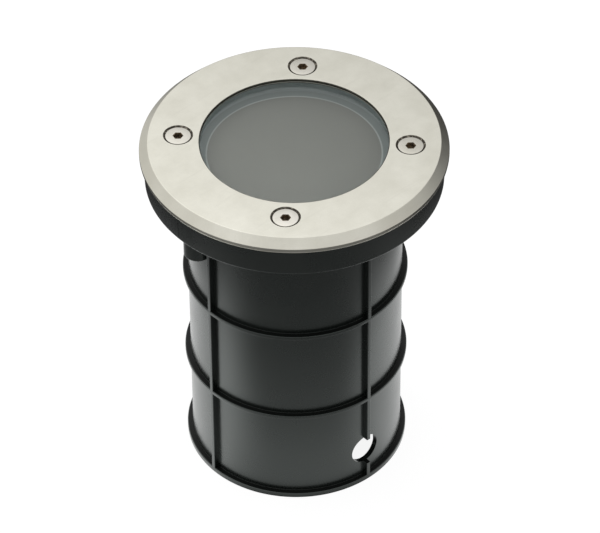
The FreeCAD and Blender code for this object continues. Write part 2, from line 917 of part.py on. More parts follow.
def build():
    return {
        "ground_sleeve": [ground_sleeve()],
        "trim_ring": [trim_ring()],
        "cover_screws": cover_screws(),
        "glass_lens": [glass_lens()],
        "lens_gasket": [lens_gasket()],
        "flange_gasket": [flange_gasket()],
        "lamp_housing": [lamp_housing()],
        "lamp_bracket": [bracket()],
        "bracket_screws": bracket_screws(),
        "lamp_holder": [lamp_holder()],
        "holder_screws": holder_screws(),
        "holder_contacts": holder_contacts(),
        "lamp_shell": [lamp_shell().cut(lamp_cooling_fins())],
        "lamp_base": [lamp_base()],
        "lamp_pins": lamp_pins(),
        "lamp_front_lens": [lamp_lens()],
        "led_board": [led_board()],
        "led_chips": led_chips(),
        "terminal_block": [terminal_block()],
        "terminal_screws": terminal_screws(),
        "live_lead": [holder_lead(-1, 0)],
        "neutral_lead": [holder_lead(1, 1)],
        "earth_lead": [earth_lead()],
        "earth_tag": [earth_tag()],
        "earth_screw": [earth_screw()],
        "gland_body": [gland_body()],
        "gland_seal": [gland_seal()],
        "gland_nut": [gland_nut()],
        "gland_washer": [gland_washer_ring()],
        "gland_locknut": [gland_locknut()],
    }


def main():
    os.makedirs("parts", exist_ok=True)
    for name, solids in build().items():
        shape = solids[0] if len(solids) == 1 else Part.makeCompound(solids)
        shape.exportStep("parts/%s.step" % name)
        print("%-16s %2d solids, %9.1f mm3, valid %s"
              % (name, len(shape.Solids), shape.Volume, shape.isValid()))
    print("total height %.2f" % total_height)


main()
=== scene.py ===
"""In-ground well light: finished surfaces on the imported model, with a studio view.

Metres, +Z up, origin at the centre of the sleeve's foot, cable hole towards -Y.
"""

import bpy
import bmesh
import json
import math

from mathutils import Matrix, Vector


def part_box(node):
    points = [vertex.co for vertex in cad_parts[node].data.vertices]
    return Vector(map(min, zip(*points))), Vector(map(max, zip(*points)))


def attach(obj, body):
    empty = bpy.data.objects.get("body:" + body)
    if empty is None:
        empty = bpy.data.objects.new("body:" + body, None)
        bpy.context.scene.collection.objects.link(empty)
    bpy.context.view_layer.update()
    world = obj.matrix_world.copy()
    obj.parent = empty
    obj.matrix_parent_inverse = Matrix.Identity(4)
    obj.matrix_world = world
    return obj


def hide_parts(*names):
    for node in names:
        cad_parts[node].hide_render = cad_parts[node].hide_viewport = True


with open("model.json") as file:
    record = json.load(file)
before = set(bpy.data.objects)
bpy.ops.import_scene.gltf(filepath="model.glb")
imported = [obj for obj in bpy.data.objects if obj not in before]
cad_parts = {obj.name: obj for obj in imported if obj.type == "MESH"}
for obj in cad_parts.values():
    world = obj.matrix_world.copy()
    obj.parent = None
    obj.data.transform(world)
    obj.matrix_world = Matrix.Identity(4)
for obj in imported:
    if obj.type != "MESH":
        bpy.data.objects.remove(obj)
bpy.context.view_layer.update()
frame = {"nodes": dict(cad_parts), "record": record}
nodes = frame["nodes"]

MM = 0.001
FINE, MEDIUM, COARSE = 288, 144, 72  # sides of a turned piece
ARC_STEPS = 5
BEVEL_STEPS = 3
SMOOTH_ANGLE = math.radians(32)
PAST = 1.0 * MM  # how far a cutter runs past the surface that it cuts
GAP = 0.05 * MM

# ---- sizes read from the model ----
ring_low, ring_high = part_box("trim_ring")
glass_low, glass_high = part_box("glass_lens")
gasket_low, gasket_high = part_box("lens_gasket")
screws_low, screws_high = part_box("cover_screws")
housing_low, housing_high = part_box("lamp_housing")
flange_low, flange_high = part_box("flange_gasket")
shell_low, shell_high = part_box("lamp_shell")
front_low, front_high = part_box("lamp_front_lens")
gland_low, gland_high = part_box("gland_body")
nut_low, nut_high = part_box("gland_nut")
seal_low, seal_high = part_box("gland_seal")
washer_low, washer_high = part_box("gland_washer")
locknut_low, locknut_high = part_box("gland_locknut")
sleeve_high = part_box("ground_sleeve")[1]
bracket_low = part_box("lamp_bracket")[0]
tag_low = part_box("earth_tag")[0]

RING_TOP = ring_high.z
RING_FOOT = ring_low.z
RING_R = ring_high.x
GLASS_R = glass_high.x
COLLAR_TOP = sleeve_high.z
COLLAR_R = RING_R - 1.1 * MM

# ---- trim ring ----
OPENING_R = GLASS_R - 2.5 * MM
OPENING_EASE = 0.45 * MM
LIP = 1.4 * MM
PLATE = 3.2 * MM
SKIRT = 2.4 * MM
RIM_EASE = 0.7 * MM
# depth of the band round the top of the opening that is painted near-black as shade
BORE_SHADE_BAND = 0.9 * MM
CHAMFER_RUN = 3.0 * MM
CHAMFER_DROP = 3.0 * MM
CHAMFER_EASE = 0.35 * MM
GLASS_POCKET_R = gasket_high.x + 0.2 * MM
SINK_R = 5.35 * MM
SINK_BREAK = 0.12 * MM

# ---- cover screws ----
SCREW_COUNT = 4
SCREW_FIRST_DEG = 45
SCREW_HEAD_R = 4.7 * MM
HEAD_GAP = 0.12 * MM
SOCKET_BREAK = 0.2 * MM
SOCKET_TURN_DEG = -40.5
SCREW_R = 2.5 * MM
SCREW_POINT = 0.6 * MM
SCREW_CIRCLE_R = (screws_high.x - SCREW_HEAD_R) * math.sqrt(2)
SCREW_TOP = screws_high.z
SCREW_FOOT = screws_low.z
SCREW_LAND = 0.25 * MM
SCREW_KEY = 3.0 * MM
SCREW_SOCKET_DEPTH = 1.6 * MM
SCREW_PITCH = 0.8 * MM
SCREW_HOLE_R = 2.75 * MM
THREAD_DEPTH = 0.35 * MM
CREST, FLANK, ROOT = 0.15, 0.55, 0.7  # ends of a thread's crest, flank and root, in pitches

# ---- glass and its gasket ----
FROST_R = 30.9 * MM
FROST_EDGE = 0.6 * MM
TOP_BEVEL = 0.4 * MM
FOOT_BEVEL = 0.9 * MM
POLISHED_R = 34.3 * MM
GASKET_LIP = 0.5 * MM
GASKET_RIBS = 3
GASKET_RIB = 0.35 * MM

# ---- sleeve ----
COLLAR_FOOT_R = COLLAR_R - 0.6 * MM
COLLAR_FOOT = COLLAR_TOP - 10.9 * MM
COLLAR_WALL = 1.5 * MM
LEDGE = 2.0 * MM
WALL_R = 38.75 * MM
WALL = 2.0 * MM
RIB_R = 40.75 * MM
RIB = 1.5 * MM
RIM = 2.0 * MM
RIB_TOPS = (80.5 * MM, 41.25 * MM)
UPRIGHT_COUNT = 4
UPRIGHT_WIDTH = 1.6 * MM
ROOT_DEPTH = 0.8 * MM  # how deep the uprights and the boss are sunk in the wall
CABLE_HOLE_R = 6.0 * MM
CABLE_HOLE_Z = 14.0 * MM
BOSS_R = 5.0 * MM
BOSS_PLACE_R = WALL_R + 1.25 * MM
BOSS_FOOT = COLLAR_FOOT - 19.4 * MM
BOSS_TURN_DEG = 169.5
PARTING_WIDTH = 0.25 * MM
PARTING_DEPTH = 0.12 * MM
FLANGE_WIDTH = 8.0 * MM

# ---- lamp housing ----
POT_R = WALL_R - WALL - 1.75 * MM
POT_WALL = 2.5 * MM
POT_FLOOR = 3.0 * MM
FOOT_LOW = flange_high.z + GAP
FOOT = 2.5 * MM
SEAT_RING_R = housing_high.x - 4.5 * MM
SHELF_R = GLASS_R - 4.4 * MM
SHELF_Z = gasket_low.z - GAP
POST_R = 3.5 * MM
POST_PLACE_R = POT_R - POT_WALL - 6.0 * MM
POST_HOLE_DEPTH = 7.0 * MM
SMALL_HOLE_R = 1.56 * MM
EARTH_PLACE_R = POT_R - POT_WALL - 10.9 * MM
EARTH_TURN_DEG = -33.7
TAPPED_R = 2.56 * MM
TAPPED_FOOT = SCREW_FOOT - 1.0 * MM

# ---- lamp ----
LAMP_R = shell_high.x
NECK_R = 11.0 * MM
NECK_TOP = shell_low.z + 11.95 * MM
LAMP_RIM = 4.0 * MM
LAMP_WALL = 1.6 * MM
CHAMBER = 8.0 * MM
FIN_COUNT = 24
FIN_SLOT = 1.2 * MM
FIN_DEPTH = 2.0 * MM
FIN_REACH = 8.0 * MM
LENS_CELLS = 6
CELL_R = 5.6 * MM
CELL_PLACE_R = 12.5 * MM
CELL_STEPS = 3
CELL_EDGE = 0.15 * MM

# ---- cable gland ----
GLAND_KEY = 20.0 * MM
GLAND_THREAD_R = 8.0 * MM
GLAND_PITCH = 1.5 * MM
GLAND_THREAD_START = 0.3 * MM
GLAND_HEX_LOW = gland_low.z + 8.5 * MM
GLAND_HEX = 6.0 * MM
CABLE_R = 4.1 * MM
GLAND_BORE_R = 4.6 * MM
SEAL_SEAT_R = 6.7 * MM
SEAL_SEAT_TOP = gland_low.z + 10.05 * MM
NUT_NOSE_R = 6.5 * MM
NUT_SHOULDER = 5.0 * MM
GROOVE_OFFSETS_DEG = (-18.0, 0.0, 18.0)
LOCKNUT_KEY = 22.0 * MM
LOCKNUT_BREAK = 0.6 * MM
RUN = 0.06 * MM  # how much wider a threaded bore is than its thread

# ---- the photograph's view ----
VIEW_DISTANCE = 1.4946
VIEW_ELEVATION = 40.347
VIEW_TURN = -40.5
VIEW_YAW = -0.064
VIEW_PITCH = 1.716
VIEW_ROLL = -0.490
FOCAL_MM = 253.67
SENSOR_MM = 36.0

# ---- the sky: strengths, and where each part starts and is full (cosines of the angle from its middle) ----
SKY_BASE = 0.15
SKY_CEILING = 0.64
SKY_KEY = 0.50
SKY_DARK = 0.3
CEILING_RISE = (0.03, 0.62)
WINDOW_RISE = (0.1, 0.65)
KEY_RISE = (0.77, 0.92)
DARK_RISE = (0.7, 1.0)
WINDOW_AZIMUTH = 90.0
KEY_AZIMUTH, KEY_ELEVATION = 45.0, 60.0
DARK_AZIMUTH, DARK_ELEVATION = -35.0, -5.0

# ---- the floor as mirror rays see it: strengths, and distances from the sleeve's axis ----
FLOOR_R = 6.0
FLOOR_BOUNCE, FLOOR_SHADOW, FLOOR_MIRROR = 0.85, 0.18, 0.02  # its grey for bounced, straight and mirror rays
FLOOR_SEEN = 0.90
FLOOR_NEAR = 0.66
FLOOR_FAR = 0.095
FLOOR_SIDE_NEAR = 1.28
FLOOR_SIDE_FAR = 0.03
FLOOR_LEFT_FAR = 0.75
FOOT_SHADE = (0.036, 0.046)
FRONT_FADE_FROM, FRONT_FADE = 0.059, 22.0
SIDE_FALL = (0.108, 0.158)
SIDE_LEVEL, SIDE_TILT = 0.99, 0.06
LEFT_SECTOR = (0.1, 0.6)
LEFT_FALL = (0.24, 0.5)
FRONT_SECTOR = (0.05, 0.6)
FRONT_NARROWS = (0.06, 0.15)
FRONT_LEAN_NEAR, FRONT_LEAN_GAIN, FRONT_LEAN_LEFT = -0.36, 0.32, -0.10


# ======== mesh helpers ========


def rounded(outline):
    """Corner points (radius, z, rounding) with each rounding laid as an arc of short runs."""
    points = []
    for k, (r, z, rounding) in enumerate(outline):
        corner = Vector((r, z))
        if rounding == 0:
            points.append(corner)
            continue
        before = Vector(outline[k - 1][:2]) - corner
        after = Vector(outline[(k + 1) % len(outline)][:2]) - corner
        half = before.angle(after) / 2
        trim = rounding / math.tan(half)
        start = corner + before.normalized() * trim
        end = corner + after.normalized() * trim
        aim = (before.normalized() + after.normalized()).normalized()
        middle = corner + aim * (rounding / math.sin(half))
        sweep = (start - middle).angle_signed(end - middle)
        for i in range(ARC_STEPS + 1):
            points.append(middle + Matrix.Rotation(-sweep * i / ARC_STEPS, 2) @ (start - middle))
    return points


def lathe(outline, segments=FINE):
    """A closed solid of revolution about Z from a closed (radius, z, rounding) outline."""
    mesh = bmesh.new()
    rings = []
    angles = [2 * math.pi * k / segments for k in range(segments)]
    for p in rounded(outline):
        if p.x < 1e-7:
            rings.append([mesh.verts.new((0, 0, p.y))])
        else:
            rings.append([mesh.verts.new((*polar(p.x, a), p.y)) for a in angles])
    for low, high in zip(rings, rings[1:] + rings[:1]):
        for k in range(segments):
            n = (k + 1) % segments
            corners = [low[k % len(low)], low[n % len(low)], high[n % len(high)], high[k % len(high)]]
            corners = list(dict.fromkeys(corners))
            if len(corners) > 2:
                mesh.faces.new(corners)
    bmesh.ops.recalc_face_normals(mesh, faces=mesh.faces)
    return mesh


def block(low, high, rounding=0.0):
    """A box between two corners with round edges."""
    mesh = bmesh.new()
    bmesh.ops.create_cube(mesh, size=1.0)
    size, centre = Vector(high) - Vector(low), (Vector(high) + Vector(low)) / 2
    for v in mesh.verts:
        v.co = Vector(v.co[i] * size[i] + centre[i] for i in range(3))
    if rounding:
        bmesh.ops.bevel(
            mesh, geom=mesh.edges[:], offset=rounding, segments=BEVEL_STEPS, affect="EDGES", profile=0.5
        )
    return mesh


def hexagon(key, z_low, z_high, turn=0.0):
    """An upright hexagon prism, measured across its flats."""
    mesh = bmesh.new()
    r = key / math.sqrt(3)
    corners = [polar(r, turn + math.pi / 3 * k) for k in range(6)]
    low = [mesh.verts.new((x, y, z_low)) for x, y in corners]
    high = [mesh.verts.new((x, y, z_high)) for x, y in corners]
    mesh.faces.new(low)
    mesh.faces.new(high)
    for k in range(6):
        n = (k + 1) % 6
        mesh.faces.new((low[k], low[n], high[n], high[k]))
    bmesh.ops.recalc_face_normals(mesh, faces=mesh.faces)
    return mesh


def drum(radius, z_low, z_high, place=(0, 0), segments=COARSE):
    """A plain upright cylinder."""
    mesh = lathe([(0, z_low, 0), (radius, z_low, 0), (radius, z_high, 0), (0, z_high, 0)], segments)
    return moved(mesh, place)


def moved(mesh, place):
    mesh.transform(Matrix.Translation((*place, 0)))
    return mesh


def polar(radius, angle):
    """The (x, y) place at a radius and an angle round Z."""
    return radius * math.cos(angle), radius * math.sin(angle)


SCREW_ANGLES = [math.radians(SCREW_FIRST_DEG) + 2 * math.pi * k / SCREW_COUNT for k in range(SCREW_COUNT)]
SCREW_PLACES = [polar(SCREW_CIRCLE_R, angle) for angle in SCREW_ANGLES]


def thread_side(radius, z_low, z_high, pitch):
    """Outline points that run up the crests and roots of a thread."""
    turns = int((z_high - z_low) / pitch)
    root_r = radius - THREAD_DEPTH
    points = []
    for k in range(turns):
        z = z_low + k * pitch
        points += [(radius, z, 0), (radius, z + CREST * pitch, 0)]
        points += [(root_r, z + FLANK * pitch, 0), (root_r, z + ROOT * pitch, 0)]
    return points + [(radius, z_low + turns * pitch, 0)]


def blank(name, mesh):
    """An object that holds a bmesh."""
    data = bpy.data.meshes.new(name)
    mesh.to_mesh(data)
    mesh.free()
    thing = bpy.data.objects.new(name, data)
    bpy.context.scene.collection.objects.link(thing)
    return thing


def settled(thing):
    """Puts the object's evaluated shape into its own mesh and drops its modifiers."""
    graph = bpy.context.evaluated_depsgraph_get()
    graph.update()
    data = bpy.data.meshes.new_from_object(thing.evaluated_get(graph), depsgraph=graph)
    old = thing.data
    thing.modifiers.clear()
    thing.data = data
    data.name = thing.name
    bpy.data.meshes.remove(old)
    return thing


def carve(thing, mesh, how="DIFFERENCE"):
    """Cuts another solid out of this one, or joins it on."""
    tool = mesh if isinstance(mesh, bpy.types.Object) else blank("tool", mesh)
    step = thing.modifiers.new("carve", "BOOLEAN")
    step.operation = how
    step.solver = "EXACT"
    step.object = tool
    settled(thing)
    bpy.data.objects.remove(tool)
    return thing


def finish_piece(thing, slot, body, *replaced):
    """Smooth shading with crisp edges, the finish, the body that it rides on and what it replaces."""
    thing.data.shade_smooth()
    thing.data.set_sharp_from_angle(angle=SMOOTH_ANGLE)
    weigh = thing.modifiers.new("weigh", "WEIGHTED_NORMAL")
    weigh.keep_sharp = True
    weigh.mode = "FACE_AREA"
    settled(thing)
    thing.data.materials.clear()
    thing.data.materials.append(FINISH[slot])
    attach(thing, body)
    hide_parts(*replaced)
    return thing


# ======== nodes ========


def feed(tree, node, inputs):
    """Feeds a node's inputs from sockets or plain values."""
    for key, value in inputs.items():
        if isinstance(value, bpy.types.NodeSocket):
            tree.links.new(value, node.inputs[key])
        else:
            node.inputs[key].default_value = value


def add(tree, kind, inputs=None, **settings):
    """A node with its settings, fed from sockets or plain values."""
    node = tree.nodes.new(kind)
    for name, value in settings.items():
        setattr(node, name, value)
    feed(tree, node, inputs or {})
    return node


def maths(tree, operation, *values):
    return add(tree, "ShaderNodeMath", dict(enumerate(values)), operation=operation).outputs[0]


def times(tree, first, second):
    return maths(tree, "MULTIPLY", first, second)


def times_plus(tree, first, second, third):
    return maths(tree, "MULTIPLY_ADD", first, second, third)


def vector_maths(tree, operation, vector, other):
    key = "Scale" if operation == "SCALE" else 1
    return add(tree, "ShaderNodeVectorMath", {0: vector, key: other}, operation=operation).outputs[0]


def dot_with(tree, vector, direction):
    node = add(tree, "ShaderNodeVectorMath", {0: vector, 1: direction}, operation="DOT_PRODUCT")
    return node.outputs["Value"]


def spread(tree, value, low, high, out_low=0.0, out_high=1.0):
    """Maps a value from one range to another, clamped."""
    ends = {"From Min": low, "From Max": high, "To Min": out_low, "To Max": out_high}
    return add(tree, "ShaderNodeMapRange", {"Value": value, **ends}, clamp=True).outputs["Result"]


def eased(tree, value, low, high):
    """0 below low and 1 above high, with a smooth rise between."""
    ends = {"From Min": low, "From Max": high}
    node = add(tree, "ShaderNodeMapRange", {"Value": value, **ends}, interpolation_type="SMOOTHSTEP")
    return node.outputs["Result"]


def noise(tree, vector, scale, detail, rough):
    inputs = {"Vector": vector, "Scale": scale, "Detail": detail, "Roughness": rough}
    return add(tree, "ShaderNodeTexNoise", inputs).outputs["Fac"]


def mixed(tree, mask, first, second):
    """A colour between two, by a mask; each may be a socket or a colour."""
    first, second = ((*c, 1.0) if isinstance(c, tuple) else c for c in (first, second))
    return add(tree, "ShaderNodeMix", {0: mask, 6: first, 7: second}, data_type="RGBA").outputs[2]


def bumped(tree, height, strength, distance=0.01 * MM, under=None):
    """A normal roughened by a height, on top of another normal where one is given."""
    inputs = {"Strength": strength, "Distance": distance, "Height": height}
    if under is not None:
        inputs["Normal"] = under
    return add(tree, "ShaderNodeBump", inputs).outputs[0]


def around(turn_deg, elevation_deg):
    """A direction from the object; 0 is away from the camera and 90 is to its left."""
    a, e = math.radians(VIEW_TURN + 90 + turn_deg), math.radians(elevation_deg)
    return Vector((math.cos(a) * math.cos(e), math.sin(a) * math.cos(e), math.sin(e)))


# the side that painted light makes paler: in front and to the camera's left, where the light comes from
PAINTED_LIGHT_SIDE = around(145, 0)


# ======== repeats by rule ========


def polar_tree():
    """Places copies of a piece evenly round Z, each turned to face outwards."""
    tree = bpy.data.node_groups.new("polar_repeat", "GeometryNodeTree")
    kinds = {"Piece": "Geometry", "Count": "Int", "Radius": "Float", "First angle": "Float"}
    kinds["Finish"] = "Material"
    keys = {}
    for name, kind in kinds.items():
        socket = tree.interface.new_socket(name, in_out="INPUT", socket_type="NodeSocket" + kind)
        keys[name] = socket.identifier
    tree.interface.new_socket("Pieces", in_out="OUTPUT", socket_type="NodeSocketGeometry")
    given, result = add(tree, "NodeGroupInput").outputs, add(tree, "NodeGroupOutput")
    line = add(tree, "GeometryNodeMeshLine", {"Count": given["Count"], "Offset": (0, 0, 0)}, mode="OFFSET")
    share = maths(tree, "DIVIDE", add(tree, "GeometryNodeInputIndex").outputs[0], given["Count"])
    angle = times_plus(tree, share, 2 * math.pi, given["First angle"])
    turn = add(tree, "ShaderNodeCombineXYZ", {"Z": angle}).outputs[0]
    reach = add(tree, "ShaderNodeCombineXYZ", {"X": given["Radius"]}).outputs[0]
    swing = add(tree, "ShaderNodeVectorRotate", {"Vector": reach, "Angle": angle}, rotation_type="Z_AXIS")
    spots = {"Geometry": line.outputs[0], "Position": swing.outputs[0]}
    place = add(tree, "GeometryNodeSetPosition", spots).outputs[0]
    laid = {"Points": place, "Instance": given["Piece"], "Rotation": turn}
    copies = add(tree, "GeometryNodeInstanceOnPoints", laid)
    real = add(tree, "GeometryNodeRealizeInstances", {0: copies.outputs[0]})
    coat = add(tree, "GeometryNodeSetMaterial", {"Geometry": real.outputs[0], "Material": given["Finish"]})
    feed(tree, result, {0: coat.outputs[0]})
    return tree, keys


POLAR_TREE, POLAR_KEYS = polar_tree()


def repeat_round(thing, count, radius, first_deg=0.0, finish=None):
    """Runs the polar repeat on a piece that was made at the origin."""
    step = thing.modifiers.new("repeat", "NODES")
    step.node_group = POLAR_TREE
    step[POLAR_KEYS["Count"]] = count
    step[POLAR_KEYS["Radius"]] = radius
    step[POLAR_KEYS["First angle"]] = math.radians(first_deg)
    if finish is not None:
        step[POLAR_KEYS["Finish"]] = finish
    return settled(thing)


# ======== shared shader effects ========


def group_shell(name, numbers, outputs):
    """An empty node group: a vector and named numbers go in, and named numbers come out."""
    tree = bpy.data.node_groups.new(name, "ShaderNodeTree")
    tree.interface.new_socket("Vector", in_out="INPUT", socket_type="NodeSocketVector")
    for label, value in numbers.items():
        tree.interface.new_socket(label, in_out="INPUT", socket_type="NodeSocketFloat").default_value = value
    for label in outputs:
        tree.interface.new_socket(label, in_out="OUTPUT", socket_type="NodeSocketFloat")
    return tree, add(tree, "NodeGroupInput").outputs, add(tree, "NodeGroupOutput")


def grain_group():
    """Fine surface texture for bumps, and slow clouds for colour and roughness."""
    numbers = {"Grain scale": 900.0, "Cloud scale": 60.0}
    tree, given, result = group_shell("surface_grain", numbers, ("Height", "Clouds"))
    fine = noise(tree, given["Vector"], given["Grain scale"], 2.0, 0.6)
    clouds = noise(tree, given["Vector"], given["Cloud scale"], 4.0, 0.6)
    feed(tree, result, {"Height": fine, "Clouds": spread(tree, clouds, 0.3, 0.7)})
    return tree


def brushed_group():
    """Fine straight hairlines along X with a few deeper ones, broken up along their length."""
    numbers = {"Line scale": 1500.0, "Stretch": 0.02}
    tree, given, result = group_shell("hairlines", numbers, ("Lines", "Scratches"))
    squeeze = add(tree, "ShaderNodeCombineXYZ", {"X": given["Stretch"], "Y": 1.0, "Z": 1.0}).outputs[0]
    drawn = vector_maths(tree, "MULTIPLY", given["Vector"], squeeze)
    lines = noise(tree, drawn, given["Line scale"], 3.0, 0.7)
    broad = noise(tree, drawn, times(tree, given["Line scale"], 0.3), 2.0, 0.5)
    feed(tree, result, {"Lines": lines, "Scratches": spread(tree, broad, 0.62, 0.75)})
    return tree


def turned_group():
    """Fine lines that run round Z, as a lathe tool leaves them, broken up along their length."""
    numbers = {"Line scale": 1600.0, "Turn scale": 0.03}
    tree, given, result = group_shell("turned_lines", numbers, ("Lines", "Streaks"))
    x, y, z = add(tree, "ShaderNodeSeparateXYZ", {0: given["Vector"]}).outputs
    squares = [times(tree, side, side) for side in (x, y)]
    radius = maths(tree, "SQRT", maths(tree, "ADD", *squares))
    wide = vector_maths(tree, "SCALE", given["Vector"], given["Turn scale"])
    flat = add(tree, "ShaderNodeSeparateXYZ", {0: wide}).outputs
    rise = maths(tree, "ADD", radius, z)
    around_z = add(tree, "ShaderNodeCombineXYZ", {0: flat[0], 1: flat[1], 2: rise}).outputs[0]
    lines = noise(tree, around_z, given["Line scale"], 3.0, 0.65)
    broad = noise(tree, around_z, times(tree, given["Line scale"], 0.35), 2.0, 0.5)
    feed(tree, result, {"Lines": lines, "Streaks": spread(tree, broad, 0.35, 0.65)})
    return tree


def wear_group():
    """Where an edge is rubbed: bright on outer edges, broken up by noise."""
    numbers = {"Radius": 0.0006, "Break-up scale": 250.0}
    tree, given, result = group_shell("edge_wear", numbers, ("Wear",))
    softened = add(tree, "ShaderNodeBevel", {"Radius": given["Radius"]}, samples=4).outputs[0]
    normal = add(tree, "ShaderNodeNewGeometry").outputs["Normal"]
    edge = spread(tree, dot_with(tree, softened, normal), 0.995, 0.86)
    patchy = spread(tree, noise(tree, given["Vector"], given["Break-up scale"], 3.0, 0.6), 0.38, 0.62)
    feed(tree, result, {"Wear": times(tree, edge, patchy)})
    return tree


GRAIN = grain_group()
HAIRLINES = brushed_group()
TURNED = turned_group()
WEAR = wear_group()


# ======== materials ========


def place_group(tree, group, vector, **values):
    inputs = {label.replace("_", " "): value for label, value in values.items()}
    return add(tree, "ShaderNodeGroup", {"Vector": vector, **inputs}, node_tree=group).outputs


def paint_light_slope(tree, where, colour, slope):
    """Paints light and shade into a colour: paler towards the lit side of the piece and darker towards the
    other.
    """
    level = times_plus(tree, dot_with(tree, where, PAINTED_LIGHT_SIDE), slope / RING_R, 1.0)
    return vector_maths(tree, "SCALE", colour, level)


def half_and_half(tree, first, second, share=0.5):
    """Two masks added, the first in its share and the second in the rest."""
    first = times(tree, first, share)
    return maths(tree, "ADD", first, times(tree, second, 1.0 - share))


FINISH = {}


def shell(name, **values):
    """A new finish with its Principled shader's plain values set, and its Object coordinates."""
    FINISH[name] = bpy.data.materials.new(name)
    FINISH[name].use_nodes = True
    tree = FINISH[name].node_tree
    shader = tree.nodes["Principled BSDF"]
    feed(tree, shader, {label.replace("_", " "): value for label, value in values.items()})
    return tree, shader, add(tree, "ShaderNodeTexCoord").outputs["Object"]


def coat(tree, shader, colour, rough_mask, rough, normal):
    """Feeds a shader its colour, its roughness by a mask, and its normal."""
    roughness = spread(tree, rough_mask, 0.0, 1.0, *rough)
    feed(tree, shader, {"Base Color": colour, "Roughness": roughness, "Normal": normal})


def moulded(name, dark, light, rough, grain=1400.0, depth=0.02 * MM, specular=0.5, worn=0.3, tint=(1, 1, 1)):
    """Moulded plastic or rubber: two near colours in slow clouds, fine texture and paler rubbed edges."""
    tree, shader, where = shell(name, Specular_IOR_Level=specular, Specular_Tint=(*tint, 1.0))
    surface = place_group(tree, GRAIN, where, Grain_scale=grain, Cloud_scale=45.0)
    rubbed = times(tree, place_group(tree, WEAR, where)["Wear"], worn)
    edge = tuple(min(1.0, c * 1.6 + 0.012) for c in light)
    colour = mixed(tree, rubbed, mixed(tree, surface["Clouds"], dark, light), edge)
    coat(tree, shader, colour, surface["Clouds"], rough, bumped(tree, surface["Height"], 0.25, depth))


def metal(name, dark, light, rough, lines=1500.0, stretch=0.02, slope=0.0):
    """Bare or plated metal: drawn lines, slow clouds and brighter rubbed edges; a slope paints light, paler
    towards the lit side.
    """
    tree, shader, where = shell(name, Metallic=1.0)
    surface = place_group(tree, GRAIN, where, Grain_scale=700.0, Cloud_scale=70.0)
    hair = place_group(tree, HAIRLINES, where, Line_scale=lines, Stretch=stretch)
    base = mixed(tree, surface["Clouds"], dark, light)
    scratches = times(tree, hair["Scratches"], 0.25)
    scored = mixed(tree, scratches, base, tuple(c * 0.85 for c in dark))
    rubbed = times(tree, place_group(tree, WEAR, where)["Wear"], 0.5)
    colour = mixed(tree, rubbed, scored, tuple(min(1.0, c * 1.1) for c in light))
    # painted light: paler towards the lit side, darker away from it
    if slope:
        colour = paint_light_slope(tree, where, colour, slope)
    patch = half_and_half(tree, surface["Clouds"], hair["Lines"])
    coat(tree, shader, colour, patch, rough, bumped(tree, hair["Lines"], 0.3))


def satin_steel():
    """Trim-ring steel: fine hairlines and soft cloudy patches on the flat, turned lines on the rim, and
    painted light that makes it paler towards the lit side.
    """
    tree, shader, where = shell("stainless", Metallic=1.0)
    surface = place_group(tree, GRAIN, where, Grain_scale=1900.0, Cloud_scale=110.0)
    slow = place_group(tree, GRAIN, where, Grain_scale=300.0, Cloud_scale=40.0)
    hair = place_group(tree, HAIRLINES, where, Line_scale=1700.0, Stretch=0.06)
    rim = place_group(tree, TURNED, where, Line_scale=1500.0, Turn_scale=0.05)
    facing = add(tree, "ShaderNodeNewGeometry").outputs["True Normal"]
    flat = spread(tree, add(tree, "ShaderNodeSeparateXYZ", {0: facing}).outputs[2], 0.93, 0.99)
    clouds = half_and_half(tree, surface["Clouds"], slow["Clouds"], 0.55)
    base = mixed(tree, clouds, (0.680, 0.665, 0.580), (0.840, 0.825, 0.738))
    streaked = mixed(tree, times(tree, rim["Streaks"], 0.6), base, (0.50, 0.48, 0.40))
    scratches = times(tree, hair["Scratches"], 0.10)
    grit = times_plus(tree, surface["Height"], 0.22, scratches)
    scored = mixed(tree, grit, mixed(tree, flat, streaked, base), (0.52, 0.50, 0.43))
    rubbed = times(tree, place_group(tree, WEAR, where)["Wear"], 0.35)
    # painted light: the steel is made paler towards the lit side and darker towards the other
    colour = paint_light_slope(tree, where, mixed(tree, rubbed, scored, (0.84, 0.83, 0.77)), 0.10)
    turned = times(tree, rim["Lines"], maths(tree, "SUBTRACT", 1.0, flat))
    lines = maths(tree, "ADD", times(tree, hair["Lines"], flat), turned)
    fine = bumped(tree, surface["Height"], 0.12)
    coat(tree, shader, colour, clouds, (0.30, 0.37), bumped(tree, lines, 0.22, under=fine))


def grime_and_shade_steel(name, lighter_tone, grime_and_shade, share):
    """Steel in a recess, patched dark by slow clouds: brown grime in the key sockets, painted shade on the
    bore's edge, and painted shade with brown grime in the countersinks.
    """
    tree, shader, where = shell(name)
    surface = place_group(tree, GRAIN, where, Grain_scale=3200.0, Cloud_scale=900.0)
    mask = spread(tree, surface["Clouds"], *share)
    feed(tree, shader, {"Metallic": spread(tree, mask, 0.0, 1.0, 0.95, 0.2)})
    # the dark patches are brown grime in the sockets and painted shade on the bore's edge and in the
    # countersinks
    colour = mixed(tree, mask, lighter_tone, grime_and_shade)
    coat(tree, shader, colour, mask, (0.35, 0.8), bumped(tree, surface["Height"], 0.5, 0.04 * MM))


def see_through(name, plain, dark, light, rough, *, grain, clouds, waves, **values):
    """Glass or clear plastic with a faint uneven cast and hardly visible waves."""
    tree, shader, where = shell(name, Base_Color=(*plain, 1), **values)
    surface = place_group(tree, GRAIN, where, Grain_scale=grain, Cloud_scale=clouds)
    colour = mixed(tree, surface["Clouds"], dark, light)
    coat(tree, shader, colour, surface["Clouds"], rough, bumped(tree, surface["Height"], waves))


